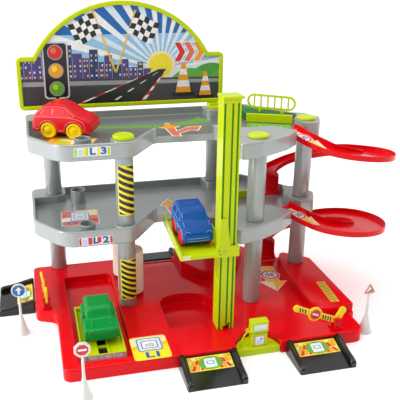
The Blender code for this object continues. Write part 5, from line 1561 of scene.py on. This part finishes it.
# wash bay tray: front label
lab = Label("tray_label", plane(46.0, -291.0, BAY + 0.3 + 4.75, (1, 0, 0), (0, 0, 1)), "chassis")
lab.rect(-31, 31, -3.9, 3.9, 0, "sky", 0.6)
for k, (u, w) in enumerate(((-27, 3), (-21, 4.5), (-14, 2.5), (-8, 2), (2, 9), (13, 3), (22, 4.2))):
    lab.rect(u - w, u + w, -3.0 + (k % 2) * 0.8, 2.2 + (k % 3) * 0.4, 1, "pale", 0.8)
    lab.rect(u - w * 0.6, u - w * 0.1, -1.8, 1.2, 2, "sky")
lab.done()

# fuel pump: two white panels with a reddish edge
lab = Label("pump_label_low", plane(271.5, -314.0, 21.0, (1, 0, 0), (0, 0, 1)), "chassis")
lab.rect(-8, 8, -8.5, 8.5, 0, "coral", 0.8).rect(-7.2, 7.2, -7.7, 7.7, 1, "silver", 0.5).rect(-6.2, 6.2, -6.7, 6.7, 2, "white", 0.4)
lab.rect(1.0, 4.0, 1.5, 4.0, 3, "blue").rect(-4.4, 3.4, -0.6, 0.4, 3, "sky").rect(-4.4, 2.2, -2.6, -1.8, 3, "sky")
lab.rect(-4.4, 4.0, -4.6, -3.9, 3, "sky")
lab.done()
lab = Label("pump_label_high", plane(271.5, -316.0, 44.5, (1, 0, 0), (0, 0, 1)), "chassis")
lab.rect(-10.4, 10.4, -5.0, 5.0, 0, "silver", 0.6).rect(-9.2, 9.2, -3.8, 3.8, 1, "white", 0.4)
lab.rect(-7.4, 7.2, -1.9, 0.9, 2, "silver").rect(-6.6, 6.4, -1.3, 0.3, 3, "white")
lab.done()

# lift platform: small marks on its front edge
lab = Label("lift_marks_left", plane(170.0, -274.5, LIFT_Z, (1, 0, 0), (0, 0, 1)), "lift")
lab.rect(-6, 6, -4.4, -2.4, 0, "cream").rect(-6, 6, -1.4, 1.6, 0, "cream")
lab.done()
lab = Label("lift_marks_right", plane(222.0, -275.6, LIFT_Z + 3.0, (1, 0, 0), (0, 0, 1)), "lift")
lab.rect(-6, -2.6, 1.6, 2.8, 0, "black").rect(-0.8, 0.6, 1.4, 2.6, 0, "brown").rect(2.2, 6.2, 1.2, 2.2, 0, "brown")
lab.rect(-4.2, -1.8, -4.0, -2.8, 0, "black").rect(-1.0, 0.4, -4.0, -2.8, 0, "brown").rect(3.0, 4.2, -4.0, -2.4, 0, "brown")
lab.done()

# barriers: hatch and disc on both sides of the arm
for tag, px, py, rz, rest in (("right", 396.8, -306.0, 180.0, 23.5), ("left", -28.0, -143.0, 94.0, 7.0)):
    c, s = math.cos(math.radians(rz)), math.sin(math.radians(rz))
    cr, sr = math.cos(math.radians(rest)), math.sin(math.radians(rest))
    u = Vector((c * cr, s * cr, sr))
    v = Vector((-c * sr, -s * sr, cr))
    out = u.cross(v)
    for sidex in (-1, 1):
        uu = u if sidex > 0 else -u
        o = Vector((px, py, 33.4)) + out * (1.9 * sidex)
        lab = Label("barrier_%s_print_%s" % (tag, "a" if sidex > 0 else "b"), plane(*o, tuple(uu), tuple(v)), "barrier_" + tag)
        for k in range(14):
            a = 9 + k * 4.6
            if abs(a - 39) < 12.5 or a > 68:
                continue
            q = [(a, -3.3), (a + 2.4, -3.3), (a + 4.6, 3.3), (a + 2.2, 3.3)]
            lab.poly([(sidex * p0, p1) for p0, p1 in q], 0, "black")
        lab.disc(sidex * 39, 0, 8.6, 0, "coral", 36).disc(sidex * 39, 0, 7.2, 1, "red", 36)
        lab.rect(sidex * 39 - 5.2, sidex * 39 + 5.2, -1.6, 1.6, 2, "white", 0.5)
        lab.done()

# ------------------------------------------------------------ studio
bpy.context.scene.view_settings.view_transform = "Standard"
world = bpy.data.worlds.new("studio")
bpy.context.scene.world = world
world.use_nodes = True
wt = world.node_tree
bg = wt.nodes["Background"]
bg.inputs["Color"].default_value = (1.0, 1.0, 1.0, 1.0)
# a soft overhead: white above, pale at the sides and dim behind the camera
way = wt.nodes.new("ShaderNodeTexCoord").outputs["Generated"]
sep = wt.nodes.new("ShaderNodeSeparateXYZ")
wt.links.new(way, sep.inputs[0])
low = span(wt, sep.outputs[1], -0.92, -0.15, 0.06, 0.72)
lift = span(wt, sep.outputs[2], 0.40, 0.92, 0.0, 1.0)
wt.links.new(math_node(wt, "MULTIPLY_ADD", lift, math_node(wt, "SUBTRACT", 1.32, low), low), bg.inputs["Strength"])

bm = bmesh.new()
for p in ((-60, -60), (60, -60), (60, 60), (-60, 60)):
    bm.verts.new((p[0], p[1], 0.0))
bm.faces.new(bm.verts[:])
floor = from_bm("studio_floor", bm)
m, t, b = nodes_of("studio_floor_white")
tc = t.nodes.new("ShaderNodeTexCoord").outputs["Object"]
t.links.new(mix_colour(t, noise(t, tc, 3.0), (0.93, 0.93, 0.93), (0.96, 0.96, 0.96)), b.inputs["Base Color"])
b.inputs["Roughness"].default_value = 0.7
b.inputs["Emission Color"].default_value = (1, 1, 1, 1)
b.inputs["Emission Strength"].default_value = 0.17
floor.data.materials.append(m)


def area(name, loc, target, size, energy, size_y=None):
    li = bpy.data.lights.new(name, "AREA")
    li.shape = "RECTANGLE"
    li.size = size
    li.size_y = size_y or size
    li.energy = energy
    ob = bpy.data.objects.new(name, li)
    bpy.context.scene.collection.objects.link(ob)
    ob.location = loc
    ob.rotation_euler = (Vector(target) - Vector(loc)).to_track_quat("-Z", "Y").to_euler()
    return ob


area("key", (-2.0, -0.25, 1.2), (0, 0, 0.2), 1.0, 25, 0.9)
area("top", (-0.2, -0.1, 2.1), (0, 0, 0.1), 1.6, 7, 1.2)
area("side", (1.9, 0.1, 0.9), (0, 0, 0.25), 0.9, 6, 0.9)
area("low", (-1.9, -0.35, 0.32), (0, 0, 0.2), 0.8, 6, 0.45)

# ------------------------------------------------------------ camera
yaw, pitch, roll, focal, pcx, pcy = 0.242, 0.367, 0.006, 637.665, 183.454, 200.324
fwd = Vector((math.sin(yaw) * math.cos(pitch), math.cos(yaw) * math.cos(pitch), -math.sin(pitch)))
right = Vector((math.cos(yaw), -math.sin(yaw), 0.0))
up = right.cross(fwd)
r2 = right * math.cos(roll) + up * math.sin(roll)
u2 = up * math.cos(roll) - right * math.sin(roll)
cam_data = bpy.data.cameras.new("photo_camera")
cam_data.sensor_width = 36.0
cam_data.lens = focal * 36.0 / 400.0
cam_data.shift_x = (200.0 - pcx) / 400.0
cam_data.shift_y = (pcy - 200.0) / 400.0
cam_data.clip_start = 0.01
cam = bpy.data.objects.new("photo_camera", cam_data)
bpy.context.scene.collection.objects.link(cam)
cam.matrix_world = Matrix((
    (r2.x, u2.x, -fwd.x, (-30.507 - CX) * MM),
    (r2.y, u2.y, -fwd.y, (-1065.407 - CY) * MM),
    (r2.z, u2.z, -fwd.z, 0.549552),
    (0, 0, 0, 1)))
bpy.context.scene.camera = cam
